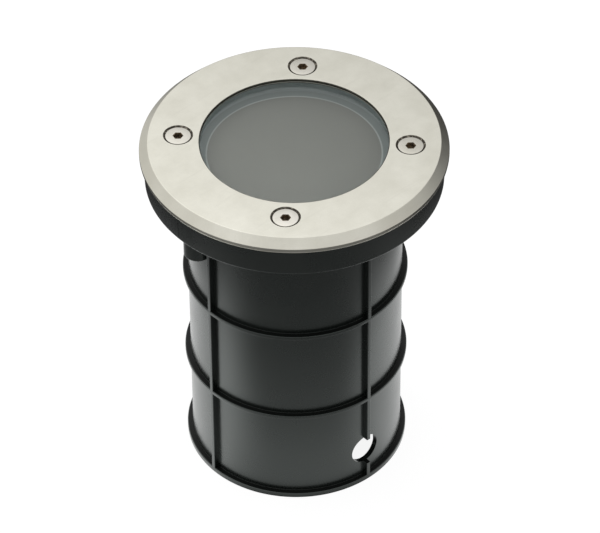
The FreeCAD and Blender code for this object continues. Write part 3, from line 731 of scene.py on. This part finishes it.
def ground_glass(name, dark, light, slope=0.1):
    """A ground or sprayed face of the glass, seen through its thickness; painted light makes it paler towards
    the lit side.
    """
    tree, shader, where = shell(name, Specular_IOR_Level=0.1)
    surface = place_group(tree, GRAIN, where, Grain_scale=2200.0, Cloud_scale=35.0)
    speckle = half_and_half(tree, surface["Clouds"], surface["Height"], 0.6)
    colour = paint_light_slope(tree, where, mixed(tree, speckle, dark, light), slope)
    roughness = spread(tree, surface["Height"], 0.3, 0.7, 0.7, 0.95)
    feed(tree, shader, {"Base Color": colour, "Roughness": roughness})


satin_steel()
# countersinks: steel darkened as painted shade in the recess, with patches of brown grime
grime_and_shade_steel("countersink", (0.34, 0.31, 0.25), (0.05, 0.042, 0.03), (0.15, 0.5))
# the bore's top rounding: near-black steel, painted shade for the shadowed edge of the opening
grime_and_shade_steel("bore_edge_painted_shade", (0.060, 0.058, 0.045), (0.030, 0.030, 0.022), (0.3, 0.6))
moulded("bore_wall", (0.30, 0.305, 0.275), (0.38, 0.385, 0.345), (0.45, 0.6), 1500.0)
# screw heads: painted light makes them paler towards the lit side
metal("screw_steel", (0.61, 0.59, 0.52), (0.76, 0.735, 0.675), (0.24, 0.34), 2600.0, stretch=0.3, slope=0.17)
grime_and_shade_steel("key_socket", (0.30, 0.23, 0.15), (0.05, 0.035, 0.02), (0.3, 0.7))
# the frosted underside takes the steepest slope of painted light: paler towards the lit side
ground_glass("frosted_underside", (0.405, 0.408, 0.374), (0.445, 0.448, 0.412), slope=0.24)
ground_glass("frost_rim", (0.64, 0.68, 0.66), (0.72, 0.76, 0.74))
ground_glass("glass_margin", (0.378, 0.432, 0.424), (0.412, 0.466, 0.456))
ground_glass("glass_edge", (0.47, 0.53, 0.53), (0.52, 0.58, 0.58))
ground_glass("glass_side", (0.50, 0.56, 0.57), (0.58, 0.64, 0.65))
moulded("black_moulding", (0.0018, 0.0032, 0.0024), (0.0036, 0.0052, 0.0042), (0.25, 0.31), 1600.0,
        depth=0.01 * MM, specular=1.0, worn=0.06, tint=(0.93, 1.02, 0.98))
# rib tops: a darker, less shiny copy of the black moulding, painted shade on the ribs' top faces
moulded("rib_tops_painted_shade", (0.0012, 0.0020, 0.0015), (0.0026, 0.0036, 0.0030), (0.4, 0.5), 1600.0,
        depth=0.01 * MM, specular=0.3, worn=0.0)
moulded("black_rubber", (0.010, 0.010, 0.010), (0.018, 0.018, 0.018), (0.6, 0.8), 900.0)
moulded("black_casting", (0.016, 0.016, 0.017), (0.026, 0.026, 0.027), (0.5, 0.66), 1100.0, 0.05 * MM)
metal("zinc_plate", (0.55, 0.57, 0.60), (0.68, 0.69, 0.70), (0.28, 0.45))
moulded("steatite", (0.70, 0.68, 0.62), (0.78, 0.76, 0.70), (0.15, 0.28), 500.0)
metal("brass", (0.62, 0.44, 0.18), (0.74, 0.56, 0.26), (0.22, 0.38))
metal("lamp_aluminium", (0.66, 0.67, 0.69), (0.76, 0.77, 0.79), (0.35, 0.5))
moulded("white_plastic", (0.72, 0.72, 0.70), (0.80, 0.80, 0.78), (0.2, 0.34), 700.0)
see_through("lamp_clear", (0.95, 0.96, 0.96), (0.92, 0.93, 0.93), (0.97, 0.98, 0.98), (0.08, 0.2),
            grain=900.0, clouds=200.0, waves=0.1, Roughness=0.12, IOR=1.49, Transmission_Weight=0.9)
moulded("board_white", (0.74, 0.75, 0.73), (0.82, 0.83, 0.81), (0.3, 0.45), 800.0)
moulded("chip_yellow", (0.75, 0.62, 0.10), (0.85, 0.72, 0.18), (0.3, 0.45), 800.0)
moulded("natural_nylon", (0.66, 0.64, 0.57), (0.76, 0.74, 0.67), (0.3, 0.45), 600.0)
moulded("wire_brown", (0.12, 0.045, 0.02), (0.17, 0.07, 0.03), (0.25, 0.4), 500.0)
moulded("wire_blue", (0.02, 0.09, 0.36), (0.03, 0.13, 0.45), (0.25, 0.4), 500.0)
moulded("wire_green", (0.05, 0.26, 0.05), (0.08, 0.34, 0.07), (0.25, 0.4), 500.0)
moulded("black_nylon", (0.012, 0.012, 0.012), (0.020, 0.020, 0.020), (0.3, 0.44))
see_through("thick_glass", (0.93, 0.965, 0.95), (0.925, 0.96, 0.945), (0.94, 0.97, 0.955), (0.0, 0.02),
            grain=60.0, clouds=20.0, waves=0.03, Roughness=0.01, IOR=1.5, Transmission_Weight=1.0)
FINISH["frosted_glass"] = FINISH["thick_glass"]


def paint_nodes():
    """Every carried-over node takes the finish that its record slot names."""
    for part in frame["record"]["subparts"]:
        thing = nodes[part["node"]]
        thing.data.materials.clear()
        thing.data.materials.append(FINISH[part["material_slot"]])


# ======== pieces ========


def coat_faces(thing, finish, chosen):
    """Gives another finish to the faces that a test picks."""
    data = thing.data
    data.materials.append(FINISH[finish])
    for face in data.polygons:
        if chosen(face):
            face.material_index = len(data.materials) - 1


def off_axis(face):
    return math.hypot(face.center.x, face.center.y)


def off_screw(face):
    """How far a face's centre lies from the axis of the nearest screw."""
    return min(math.dist(place, face.center[:2]) for place in SCREW_PLACES)


def trim_ring():
    """The steel plate: flat top, chamfered rim, thin lip over the glass, and four countersinks."""
    top, foot = RING_TOP, RING_FOOT
    fine, crisp = 0.1 * MM, 0.15 * MM
    outline = [
        (OPENING_R, top, OPENING_EASE),
        (OPENING_R, top - BORE_SHADE_BAND, 0),
        (OPENING_R, top - LIP, crisp),
        (GLASS_POCKET_R, top - LIP, 0),
        (GLASS_POCKET_R, top - PLATE, fine),
        (RING_R - SKIRT, top - PLATE, fine),
        (RING_R - SKIRT, foot, crisp),
        (RING_R, foot, RIM_EASE),
        (RING_R, top - CHAMFER_DROP, CHAMFER_EASE),
        (RING_R - CHAMFER_RUN, top, CHAMFER_EASE),
    ]
    ring = blank("trim_ring_plate", lathe(outline))
    sink = [
        (0, top - PLATE - PAST, 0),
        (SCREW_HOLE_R, top - PLATE - PAST, 0),
        (SCREW_HOLE_R, top - (SINK_R - SCREW_HOLE_R), 0),
        (SINK_R, top, 0.2 * MM),
        (SINK_R + SINK_BREAK, top + SINK_BREAK, 0),
        (SINK_R + SINK_BREAK, top + PAST, 0),
        (0, top + PAST, 0),
    ]
    sinks = blank("sink", lathe(sink, COARSE))
    carve(ring, repeat_round(sinks, SCREW_COUNT, SCREW_CIRCLE_R, SCREW_FIRST_DEG))
    finish_piece(ring, "stainless", "cover", "trim_ring")

    def in_sink(face):
        return off_screw(face) < SINK_R and face.center.z < top - GAP and abs(face.normal.z) < 0.95

    def in_bore(face):
        return off_axis(face) < OPENING_R + OPENING_EASE + GAP

    def high(face):
        return face.center.z > top - BORE_SHADE_BAND

    # the countersink walls take the darkened steel: painted shade with brown grime
    coat_faces(ring, "countersink", in_sink)
    coat_faces(ring, "bore_wall", lambda f: in_bore(f) and not high(f))
    # the top rounding of the bore takes near-black steel as painted shade
    coat_faces(ring, "bore_edge_painted_shade", lambda f: in_bore(f) and high(f) and f.normal.z < 0.985)


def cover_screws():
    """Countersunk screws with a hexagon socket and a rolled thread, round the ring."""
    top, foot = SCREW_TOP, SCREW_FOOT
    head_r = SCREW_HEAD_R - HEAD_GAP
    cone_foot = top - SCREW_LAND - (SCREW_HEAD_R - SCREW_R)
    outline = [(0, foot, 0), (SCREW_R - SCREW_POINT, foot, 0)]
    outline += thread_side(SCREW_R, foot + SCREW_POINT, cone_foot - SCREW_PITCH, SCREW_PITCH)
    outline += [(SCREW_R, cone_foot, 0), (head_r, top - SCREW_LAND, 0.05 * MM)]
    outline += [(head_r, top, 0.15 * MM), (0, top, 0)]
    screw = blank("socket_screws", lathe(outline, MEDIUM))
    repeat_round(screw, SCREW_COUNT, SCREW_CIRCLE_R, SCREW_FIRST_DEG, FINISH["screw_steel"])
    carve(screw, sockets(SCREW_KEY, top - SCREW_SOCKET_DEPTH))
    carve(screw, sockets(SCREW_KEY + 2 * SOCKET_BREAK, top - SOCKET_BREAK))
    finish_piece(screw, "screw_steel", "screws", "cover_screws")
    corner_r = (SCREW_KEY / 2 + SOCKET_BREAK) / math.cos(math.radians(30))
    skin = 0.01 * MM

    def in_socket(face):
        deep = top - SCREW_SOCKET_DEPTH - 0.1 * MM < face.center.z < top - skin
        return deep and off_screw(face) < corner_r + skin

    coat_faces(screw, "key_socket", in_socket)


def sockets(key, low):
    """Hexagon cutters, one over each screw, all turned the same way."""
    cutters = bmesh.new()
    for place in SCREW_PLACES:
        data = bpy.data.meshes.new("cutter")
        moved(hexagon(key, low, SCREW_TOP + PAST, math.radians(SOCKET_TURN_DEG)), place).to_mesh(data)
        cutters.from_mesh(data)
        bpy.data.meshes.remove(data)
    return cutters


def glass_disc():
    """Thick glass: clear top and edge, frosted underside, and a ground foot bevel."""
    low, high = glass_low.z, glass_high.z
    soft = 0.1 * MM
    outline = [(r, low, 0) for r in (0, FROST_R, FROST_R + FROST_EDGE, POLISHED_R, GLASS_R - FOOT_BEVEL)]
    outline += [(GLASS_R, low + FOOT_BEVEL, soft), (GLASS_R, high - TOP_BEVEL, soft)]
    outline += [(GLASS_R - TOP_BEVEL, high, soft), (0, high, 0)]
    disc = blank("glass_disc", lathe(outline))
    finish_piece(disc, "frosted_glass", "lens", "glass_lens")

    def band(inner, outer):
        return lambda f: f.normal.z < -0.99 and inner < off_axis(f) < outer

    edge = band(POLISHED_R, GLASS_R)
    coat_faces(disc, "frosted_underside", band(-1, FROST_R))
    coat_faces(disc, "frost_rim", band(FROST_R, FROST_R + FROST_EDGE))
    coat_faces(disc, "glass_margin", band(FROST_R + FROST_EDGE, POLISHED_R))
    coat_faces(disc, "glass_edge", lambda f: edge(f) or -0.95 < f.normal.z < -0.3)
    coat_faces(disc, "glass_side", lambda f: abs(f.normal.z) < 0.1)


def lens_gasket():
    """The rubber channel round the glass: a short lip on top, a long one below."""
    low, high, side = gasket_low.z, gasket_high.z, gasket_high.x
    soft, corner, half_rib = 0.15 * MM, 0.3 * MM, 0.5 * MM
    lip_r, channel_r = OPENING_R + 0.4 * MM, GLASS_R + GAP
    outline = [(lip_r, high, soft), (lip_r, high - GASKET_LIP, soft), (channel_r, high - GASKET_LIP, 0)]
    outline += [(channel_r, low + GASKET_LIP, 0), (SHELF_R, low + GASKET_LIP, soft), (SHELF_R, low, soft)]
    outline.append((side, low, corner))
    for k in range(GASKET_RIBS):
        z = low + (k + 1) * (high - low) / (GASKET_RIBS + 1)
        outline += [(side, z - half_rib, soft), (side - GASKET_RIB, z, soft), (side, z + half_rib, soft)]
    outline.append((side, high, corner))
    finish_piece(blank("glass_channel_seal", lathe(outline)), "black_rubber", "lens", "lens_gasket")


def ground_sleeve():
    """One black moulding: wall, collar, ribs, foot rim, boss and cable hole."""
    inner, ledge = WALL_R - WALL, COLLAR_FOOT + LEDGE
    small, root = 0.3 * MM, 0.08 * MM
    outline = [(inner, 0, 0.4 * MM), (RIB_R, 0, small), (RIB_R, RIM, small), (WALL_R, RIM, root)]
    for rib_top in reversed(RIB_TOPS):
        rib_foot = rib_top - RIB
        outline += [(WALL_R, rib_foot, root), (RIB_R, rib_foot, small)]
        outline += [(RIB_R, rib_top, small), (WALL_R, rib_top, root)]
    outline += [
        (WALL_R, COLLAR_FOOT, 0.6 * MM),
        (COLLAR_FOOT_R, COLLAR_FOOT, 0.5 * MM),
        (COLLAR_R, COLLAR_TOP, 0.5 * MM),
        (COLLAR_FOOT_R - COLLAR_WALL, COLLAR_TOP, small),
        (COLLAR_FOOT_R - COLLAR_WALL, ledge, 0.4 * MM),
        (inner, ledge, small),
    ]
    sleeve = blank("ribbed_sleeve", lathe(outline))
    skin, half = 0.02 * MM, UPRIGHT_WIDTH / 2
    low_corner = (WALL_R - ROOT_DEPTH, -half, skin)
    bar = block(low_corner, (RIB_R - skin, half, COLLAR_FOOT + PAST), 0.25 * MM)
    carve(sleeve, repeat_round(blank("uprights", bar), UPRIGHT_COUNT, 0.0), "UNION")
    carve(sleeve, boss(), "UNION")
    hole = bmesh.new()
    r, depth = CABLE_HOLE_R, 20 * MM
    bmesh.ops.create_cone(hole, cap_ends=True, segments=96, radius1=r, radius2=r, depth=depth)
    hole.transform(Matrix.Translation((0, -WALL_R, CABLE_HOLE_Z)) @ Matrix.Rotation(math.pi / 2, 4, "X"))
    carve(sleeve, hole)
    carve(sleeve, repeat_round(blank("parting_lines", parting_slot()), 2, 0.0))
    finish_piece(sleeve, "black_moulding", "sleeve", "ground_sleeve")

    def rib_top_face(face):
        on_rib = WALL_R - small < off_axis(face) < RIB_R - small
        return on_rib and face.normal.z > 0.8 and face.center.z < max(RIB_TOPS) + small

    # the ribs' top faces take the darker copy of the moulding as painted shade
    coat_faces(sleeve, "rib_tops_painted_shade", rib_top_face)


def boss():
    """The upright round boss under the collar, kept clear of the bore."""
    low, top = BOSS_FOOT, COLLAR_FOOT + PAST
    post = blank("boss", lathe([(0, low, 0), (BOSS_R, low, 0.6 * MM), (BOSS_R, top, 0), (0, top, 0)], COARSE))
    post.data.transform(Matrix.Translation((BOSS_PLACE_R, 0, 0)))
    carve(post, drum(WALL_R - ROOT_DEPTH, low - PAST, top + PAST, segments=FINE))
    post.data.transform(Matrix.Rotation(math.radians(BOSS_TURN_DEG), 4, "Z"))
    return post


def parting_slot():
    """A thin slot that follows the collar's draft."""
    slope = (COLLAR_R - COLLAR_FOOT_R) / (COLLAR_TOP - COLLAR_FOOT)
    half = PARTING_WIDTH / 2
    low_corner = (COLLAR_FOOT_R - PARTING_DEPTH, -half, COLLAR_FOOT - PAST)
    slot = block(low_corner, (COLLAR_R + 2 * PAST, half, COLLAR_TOP + PAST))
    for v in slot.verts:
        v.co.x += (v.co.z - COLLAR_FOOT) * slope
    return slot


def rubber_ring(name, node, inner, low, high, inner_soft, soft, segments):
    """A flat rubber ring that fills its box from an inner radius outwards."""
    outline = [(inner, low.z, inner_soft), (high.x, low.z, soft)]
    outline += [(high.x, high.z, soft), (inner, high.z, inner_soft)]
    finish_piece(blank(name, lathe(outline, segments)), "black_rubber", "luminaire", node)


def flange_gasket():
    """The flat rubber ring that seals the housing on the sleeve's ledge."""
    inner, soft = flange_high.x - FLANGE_WIDTH, 0.2 * MM
    rubber_ring("flange_seal", "flange_gasket", inner, flange_low, flange_high, soft, soft, FINE)


def lamp_housing():
    """The sealed pot: glass pocket, seat ring with four tapped holes, foot, pot, and the posts inside."""
    low, high, outer = housing_low.z, housing_high.z, housing_high.x
    inner_r, floor_z = POT_R - POT_WALL, low + POT_FLOOR
    small, cast = 0.2 * MM, 0.5 * MM
    foot_top = FOOT_LOW + FOOT
    outline = [(0, low, 0), (POT_R, low, 2.0 * MM), (POT_R, FOOT_LOW, cast), (outer, FOOT_LOW, small)]
    outline += [(outer, foot_top, cast), (SEAT_RING_R, foot_top, 1.0 * MM), (SEAT_RING_R, high, cast)]
    outline += [(GLASS_POCKET_R, high, small), (GLASS_POCKET_R, SHELF_Z, small)]
    outline += [(SHELF_R, SHELF_Z, small), (SHELF_R, FOOT_LOW, small)]
    outline += [(inner_r, FOOT_LOW - POT_WALL, cast), (inner_r, floor_z, 1.5 * MM), (0, floor_z, 0)]
    pot = blank("lamp_pot", lathe(outline))
    sunk, post_top = floor_z - 0.5 * MM, bracket_low.z
    posts = [(side * POST_PLACE_R, 0) for side in (-1, 1)]
    earth = polar(EARTH_PLACE_R, math.radians(EARTH_TURN_DEG))
    for place in posts:
        carve(pot, drum(POST_R, sunk, post_top, place), "UNION")
    carve(pot, drum(POST_R, sunk, tag_low.z - GAP, earth), "UNION")
    for place in SCREW_PLACES:
        carve(pot, drum(TAPPED_R, TAPPED_FOOT, high + PAST, place))
    for place in posts:
        carve(pot, drum(SMALL_HOLE_R, post_top - POST_HOLE_DEPTH, post_top + PAST, place))
    carve(pot, drum(SMALL_HOLE_R, low + 1 * MM, tag_low.z + PAST, earth))
    carve(pot, drum(GLAND_THREAD_R + RUN, low - PAST, floor_z + PAST))
    finish_piece(pot, "black_casting", "luminaire", "lamp_housing")


def lamp_shell():
    """The lamp's finned cup."""
    top, foot = shell_high.z, shell_low.z
    rim_foot, board, inner = top - LAMP_RIM, top - CHAMBER, LAMP_R - LAMP_WALL
    soft = 0.4 * MM
    outline = [(0, foot, 0), (NECK_R, foot, soft), (NECK_R, NECK_TOP, 1.0 * MM), (LAMP_R, rim_foot, soft)]
    outline += [(LAMP_R, top, soft), (inner, top, 0.2 * MM), (inner, board, 0), (0, board, 0)]
    cup = blank("lamp_cup", lathe(outline, MEDIUM))
    slope = math.atan((LAMP_R - NECK_R) / (rim_foot - NECK_TOP))
    slot = block((0, -FIN_SLOT / 2, 0), (FIN_REACH, FIN_SLOT / 2, rim_foot - PAST - NECK_TOP))
    slot.transform(Matrix.Translation((0, 0, NECK_TOP)) @ Matrix.Rotation(slope, 4, "Y"))
    carve(cup, repeat_round(blank("fin_slots", slot), FIN_COUNT, NECK_R - FIN_DEPTH))
    finish_piece(cup, "lamp_aluminium", "lamp", "lamp_shell")


def lamp_front():
    """The lamp's own lens: a rimmed clear plate with a stepped cell over each light source."""
    low, high, r = front_low.z, front_high.z, front_high.x
    face_z, soft = high - 0.9 * MM, 0.2 * MM
    outline = [(0, low, 0), (r, low, 0), (r, high, soft), (r - 1.2 * MM, high, soft)]
    outline += [(r - 1.6 * MM, face_z, 0), (0, face_z, 0)]
    plate = blank("lamp_lens_plate", lathe(outline, MEDIUM))
    cell = [(0, face_z - 0.3 * MM, 0), (CELL_R, face_z - 0.3 * MM, 0)]
    for k in reversed(range(CELL_STEPS)):
        outer, inner = CELL_R * (k + 1) / CELL_STEPS, CELL_R * k / CELL_STEPS
        cell += [(outer, face_z + CELL_EDGE, 0), (inner + 0.1 * MM, high - CELL_EDGE, 0)]
    cell.append((0, high - CELL_EDGE, 0))
    carve(plate, lathe(cell, COARSE), "UNION")
    carve(plate, repeat_round(blank("lens_cells", lathe(cell, COARSE)), LENS_CELLS, CELL_PLACE_R), "UNION")
    finish_piece(plate, "lamp_clear", "lamp", "lamp_front_lens")


def gland_body():
    """The threaded tube with a hexagon flange and the seal's seat."""
    hex_low, hex_high = GLAND_HEX_LOW, GLAND_HEX_LOW + GLAND_HEX
    outline = [(GLAND_BORE_R, gland_high.z, 0.2 * MM), (GLAND_BORE_R, SEAL_SEAT_TOP, 0)]
    outline += [(SEAL_SEAT_R, SEAL_SEAT_TOP, 0), (SEAL_SEAT_R, gland_low.z, 0)]
    outline += thread_side(GLAND_THREAD_R, gland_low.z + GLAND_THREAD_START, hex_low, GLAND_PITCH)
    outline += thread_side(GLAND_THREAD_R, hex_high, gland_high.z - GLAND_THREAD_START, GLAND_PITCH)
    body = blank("gland_body_threaded", lathe(outline, MEDIUM))
    flange = rounded_hexagon(GLAND_KEY, hex_low, hex_high)
    carve(flange, drum(GLAND_THREAD_R - 0.6 * MM, hex_low - PAST, hex_high + PAST))
    carve(body, flange, "UNION")
    finish_piece(body, "black_nylon", "luminaire", "gland_body")


def gland_nut():
    """The domed clamping nut, grooved for grip."""
    low, high = nut_low.z, nut_high.z
    nut = rounded_hexagon(GLAND_KEY, low, high)
    corner_r = GLAND_KEY / math.sqrt(3)
    dome = [(0, low, 0), (NUT_NOSE_R, low, 0.8 * MM), (corner_r, low + NUT_SHOULDER, 1.5 * MM)]
    dome += [(corner_r + PAST, high, 0), (0, high, 0)]
    carve(nut, blank("dome", lathe(dome, MEDIUM)), "INTERSECT")
    half = Vector((0.35 * MM, 0.45 * MM, 0))
    groove = block(Vector((0, 0, low + 4 * MM)) - half, Vector((0, 0, high - 1.2 * MM)) + half, 0.15 * MM)
    for offset in GROOVE_OFFSETS_DEG:
        reach = GLAND_KEY / 2 / math.cos(math.radians(offset))
        carve(nut, repeat_round(blank("grooves", groove.copy()), 6, reach, 30 + offset))
    groove.free()
    carve(nut, drum(GLAND_THREAD_R + RUN, gland_low.z - GAP, high + PAST, segments=MEDIUM))
    carve(nut, drum(GLAND_BORE_R, low - PAST, high, segments=MEDIUM))
    finish_piece(nut, "black_nylon", "clamping_nut", "gland_nut")


def gland_locknut():
    """The thin brass nut inside the housing, its corners turned off on both faces."""
    low, high = locknut_low.z, locknut_high.z
    nut = rounded_hexagon(LOCKNUT_KEY, low, high)
    outer = LOCKNUT_KEY / math.sqrt(3)
    flat = outer - 1 * MM
    cone = [(0, low, 0), (flat, low, 0), (outer, low + LOCKNUT_BREAK, 0)]
    cone += [(outer, high - LOCKNUT_BREAK, 0), (flat, high, 0), (0, high, 0)]
    carve(nut, blank("cone", lathe(cone, MEDIUM)), "INTERSECT")
    carve(nut, drum(GLAND_THREAD_R + RUN, low - PAST, high + PAST, segments=MEDIUM))
    finish_piece(nut, "brass", "luminaire", "gland_locknut")


def cable_gland():
    """Gland body, seal, nut, washer and locknut."""
    bore, small, soft = GLAND_THREAD_R + RUN, 0.2 * MM, 0.3 * MM
    gland_body()
    rubber_ring("gland_seal_ring", "gland_seal", CABLE_R, seal_low, seal_high, soft, soft, MEDIUM)
    gland_nut()
    rubber_ring("gland_sealing_ring", "gland_washer", bore, washer_low, washer_high, small, soft, MEDIUM)
    gland_locknut()


def rounded_hexagon(key, low, high):
    """A hexagon prism with its upright edges rounded."""
    mesh = hexagon(key, low, high)
    upright = [e for e in mesh.edges if abs(e.verts[0].co.z - e.verts[1].co.z) > (high - low) / 2]
    bmesh.ops.bevel(mesh, geom=upright, offset=0.4 * MM, segments=BEVEL_STEPS, affect="EDGES", profile=0.5)
    bmesh.ops.recalc_face_normals(mesh, faces=mesh.faces)
    return blank("hexagon", mesh)


# ======== studio ========


def camera():
    """The photograph's view: distance, elevation, turn and the small corrections to its aim."""
    e = math.radians(VIEW_ELEVATION)
    place = Vector((0, -VIEW_DISTANCE * math.cos(e), VIEW_DISTANCE * math.sin(e)))
    forward = -place.normalized()
    right = Vector((1, 0, 0))
    rows = Matrix((right, forward.cross(right), forward))
    for angle, axis in ((VIEW_YAW, "Y"), (VIEW_PITCH, "X"), (VIEW_ROLL, "Z")):
        rows = Matrix.Rotation(math.radians(angle), 3, axis) @ rows
    axes = Matrix((rows[0], -rows[1], -rows[2])).transposed()
    turn = Matrix.Rotation(math.radians(VIEW_TURN), 4, "Z")
    data = bpy.data.cameras.new("camera")
    data.lens = FOCAL_MM
    data.sensor_width = SENSOR_MM
    data.clip_start, data.clip_end = 0.05, 20.0
    eye = bpy.data.objects.new("camera", data)
    bpy.context.scene.collection.objects.link(eye)
    eye.matrix_world = Matrix.Translation((0, 0, RING_TOP)) @ turn @ Matrix.Translation(place) @ axes.to_4x4()
    bpy.context.scene.camera = eye


def plain_rays(tree):
    """The ray kinds, and 1 for the camera's own rays and those that go straight through glass."""
    path = add(tree, "ShaderNodeLightPath").outputs
    direct = maths(tree, "LESS_THAN", path["Diffuse Depth"], 0.5)
    through = times(tree, path["Is Transmission Ray"], direct)
    return path, maths(tree, "MAXIMUM", path["Is Camera Ray"], through)


def studio():
    """White background, and a soft sky: bright overhead and on the left, dimmer low behind the right."""
    scene = bpy.context.scene
    scene.view_settings.view_transform = "Standard"
    world = bpy.data.worlds.new("studio")
    scene.world = world
    world.use_nodes = True
    tree = world.node_tree
    tree.nodes.clear()
    seen = plain_rays(tree)[1]
    way = add(tree, "ShaderNodeTexCoord").outputs["Generated"]

    def patch(direction, rise):
        return eased(tree, dot_with(tree, way, direction), *rise)

    ceiling = patch((0, 0, 1), CEILING_RISE)
    window = patch(around(WINDOW_AZIMUTH, 0), WINDOW_RISE)
    key = patch(around(KEY_AZIMUTH, KEY_ELEVATION), KEY_RISE)
    dark = patch(around(DARK_AZIMUTH, DARK_ELEVATION), DARK_RISE)
    broad = times_plus(tree, maths(tree, "MAXIMUM", ceiling, window), SKY_CEILING, SKY_BASE)
    lit = times_plus(tree, key, SKY_KEY, broad)
    strength = times(tree, lit, times_plus(tree, dark, -SKY_DARK, 1.0))
    soft, white = (
        add(tree, "ShaderNodeBackground", {"Color": (1, 1, 1, 1), "Strength": level}).outputs[0]
        for level in (strength, 1.0)
    )
    mix = add(tree, "ShaderNodeMixShader", {0: seen, 1: soft, 2: white})
    add(tree, "ShaderNodeOutputWorld", {0: mix.outputs[0]})


def floor():
    """A pale floor that keeps the shadow; mirror rays see it dim in front and bright at the sides."""
    mesh = bmesh.new()
    bmesh.ops.create_circle(mesh, cap_ends=True, segments=96, radius=FLOOR_R)
    ground = blank("floor", mesh)
    plain_values = {"Roughness": 1.0, "Specular_IOR_Level": 0.0, "Emission_Color": (1, 1, 1, 1)}
    tree, shader, place = shell("pale_floor", **plain_values)
    path, seen = plain_rays(tree)
    mirror = path["Is Glossy Ray"]
    reach = add(tree, "ShaderNodeVectorMath", {0: place}, operation="LENGTH").outputs["Value"]
    length = maths(tree, "MAXIMUM", reach, 0.001)
    forward, leftward = (
        maths(tree, "DIVIDE", dot_with(tree, place, around(turn, 0)), length) for turn in (180, 90)
    )
    fade = times(tree, maths(tree, "SUBTRACT", FRONT_FADE_FROM, reach), FRONT_FADE)
    fade = maths(tree, "MINIMUM", maths(tree, "EXPONENT", fade), 1.0)
    front = times_plus(tree, fade, FLOOR_NEAR - FLOOR_FAR, FLOOR_FAR)
    front = times(tree, front, eased(tree, reach, *FOOT_SHADE))
    fall = eased(tree, reach, *SIDE_FALL)
    side = times_plus(tree, fall, FLOOR_SIDE_FAR - FLOOR_SIDE_NEAR, FLOOR_SIDE_NEAR)
    side = times(tree, side, times_plus(tree, leftward, SIDE_TILT, SIDE_LEVEL))
    far_left = times(tree, eased(tree, leftward, *LEFT_SECTOR), eased(tree, reach, *LEFT_FALL))
    side = times_plus(tree, far_left, FLOOR_LEFT_FAR, side)
    lean = times_plus(tree, eased(tree, reach, *FRONT_NARROWS), FRONT_LEAN_GAIN, FRONT_LEAN_NEAR)
    lean = times_plus(tree, leftward, FRONT_LEAN_LEFT, lean)
    ahead = eased(tree, maths(tree, "ADD", forward, lean), *FRONT_SECTOR)
    side = times(tree, maths(tree, "SUBTRACT", 1.0, ahead), side)
    reflected = times_plus(tree, ahead, front, side)
    glow = times_plus(tree, mirror, reflected, times(tree, seen, FLOOR_SEEN))
    shade = mixed(tree, seen, (FLOOR_BOUNCE,) * 3, (FLOOR_SHADOW,) * 3)
    shade = mixed(tree, mirror, shade, (FLOOR_MIRROR,) * 3)
    feed(tree, shader, {"Emission Strength": glow, "Base Color": shade})
    ground.data.materials.append(FINISH["pale_floor"])


camera()
studio()
floor()
paint_nodes()
trim_ring()
cover_screws()
glass_disc()
lens_gasket()
ground_sleeve()
flange_gasket()
lamp_housing()
lamp_shell()
lamp_front()
cable_gland()


def plain(box):
    return [list(corner) for corner in box]
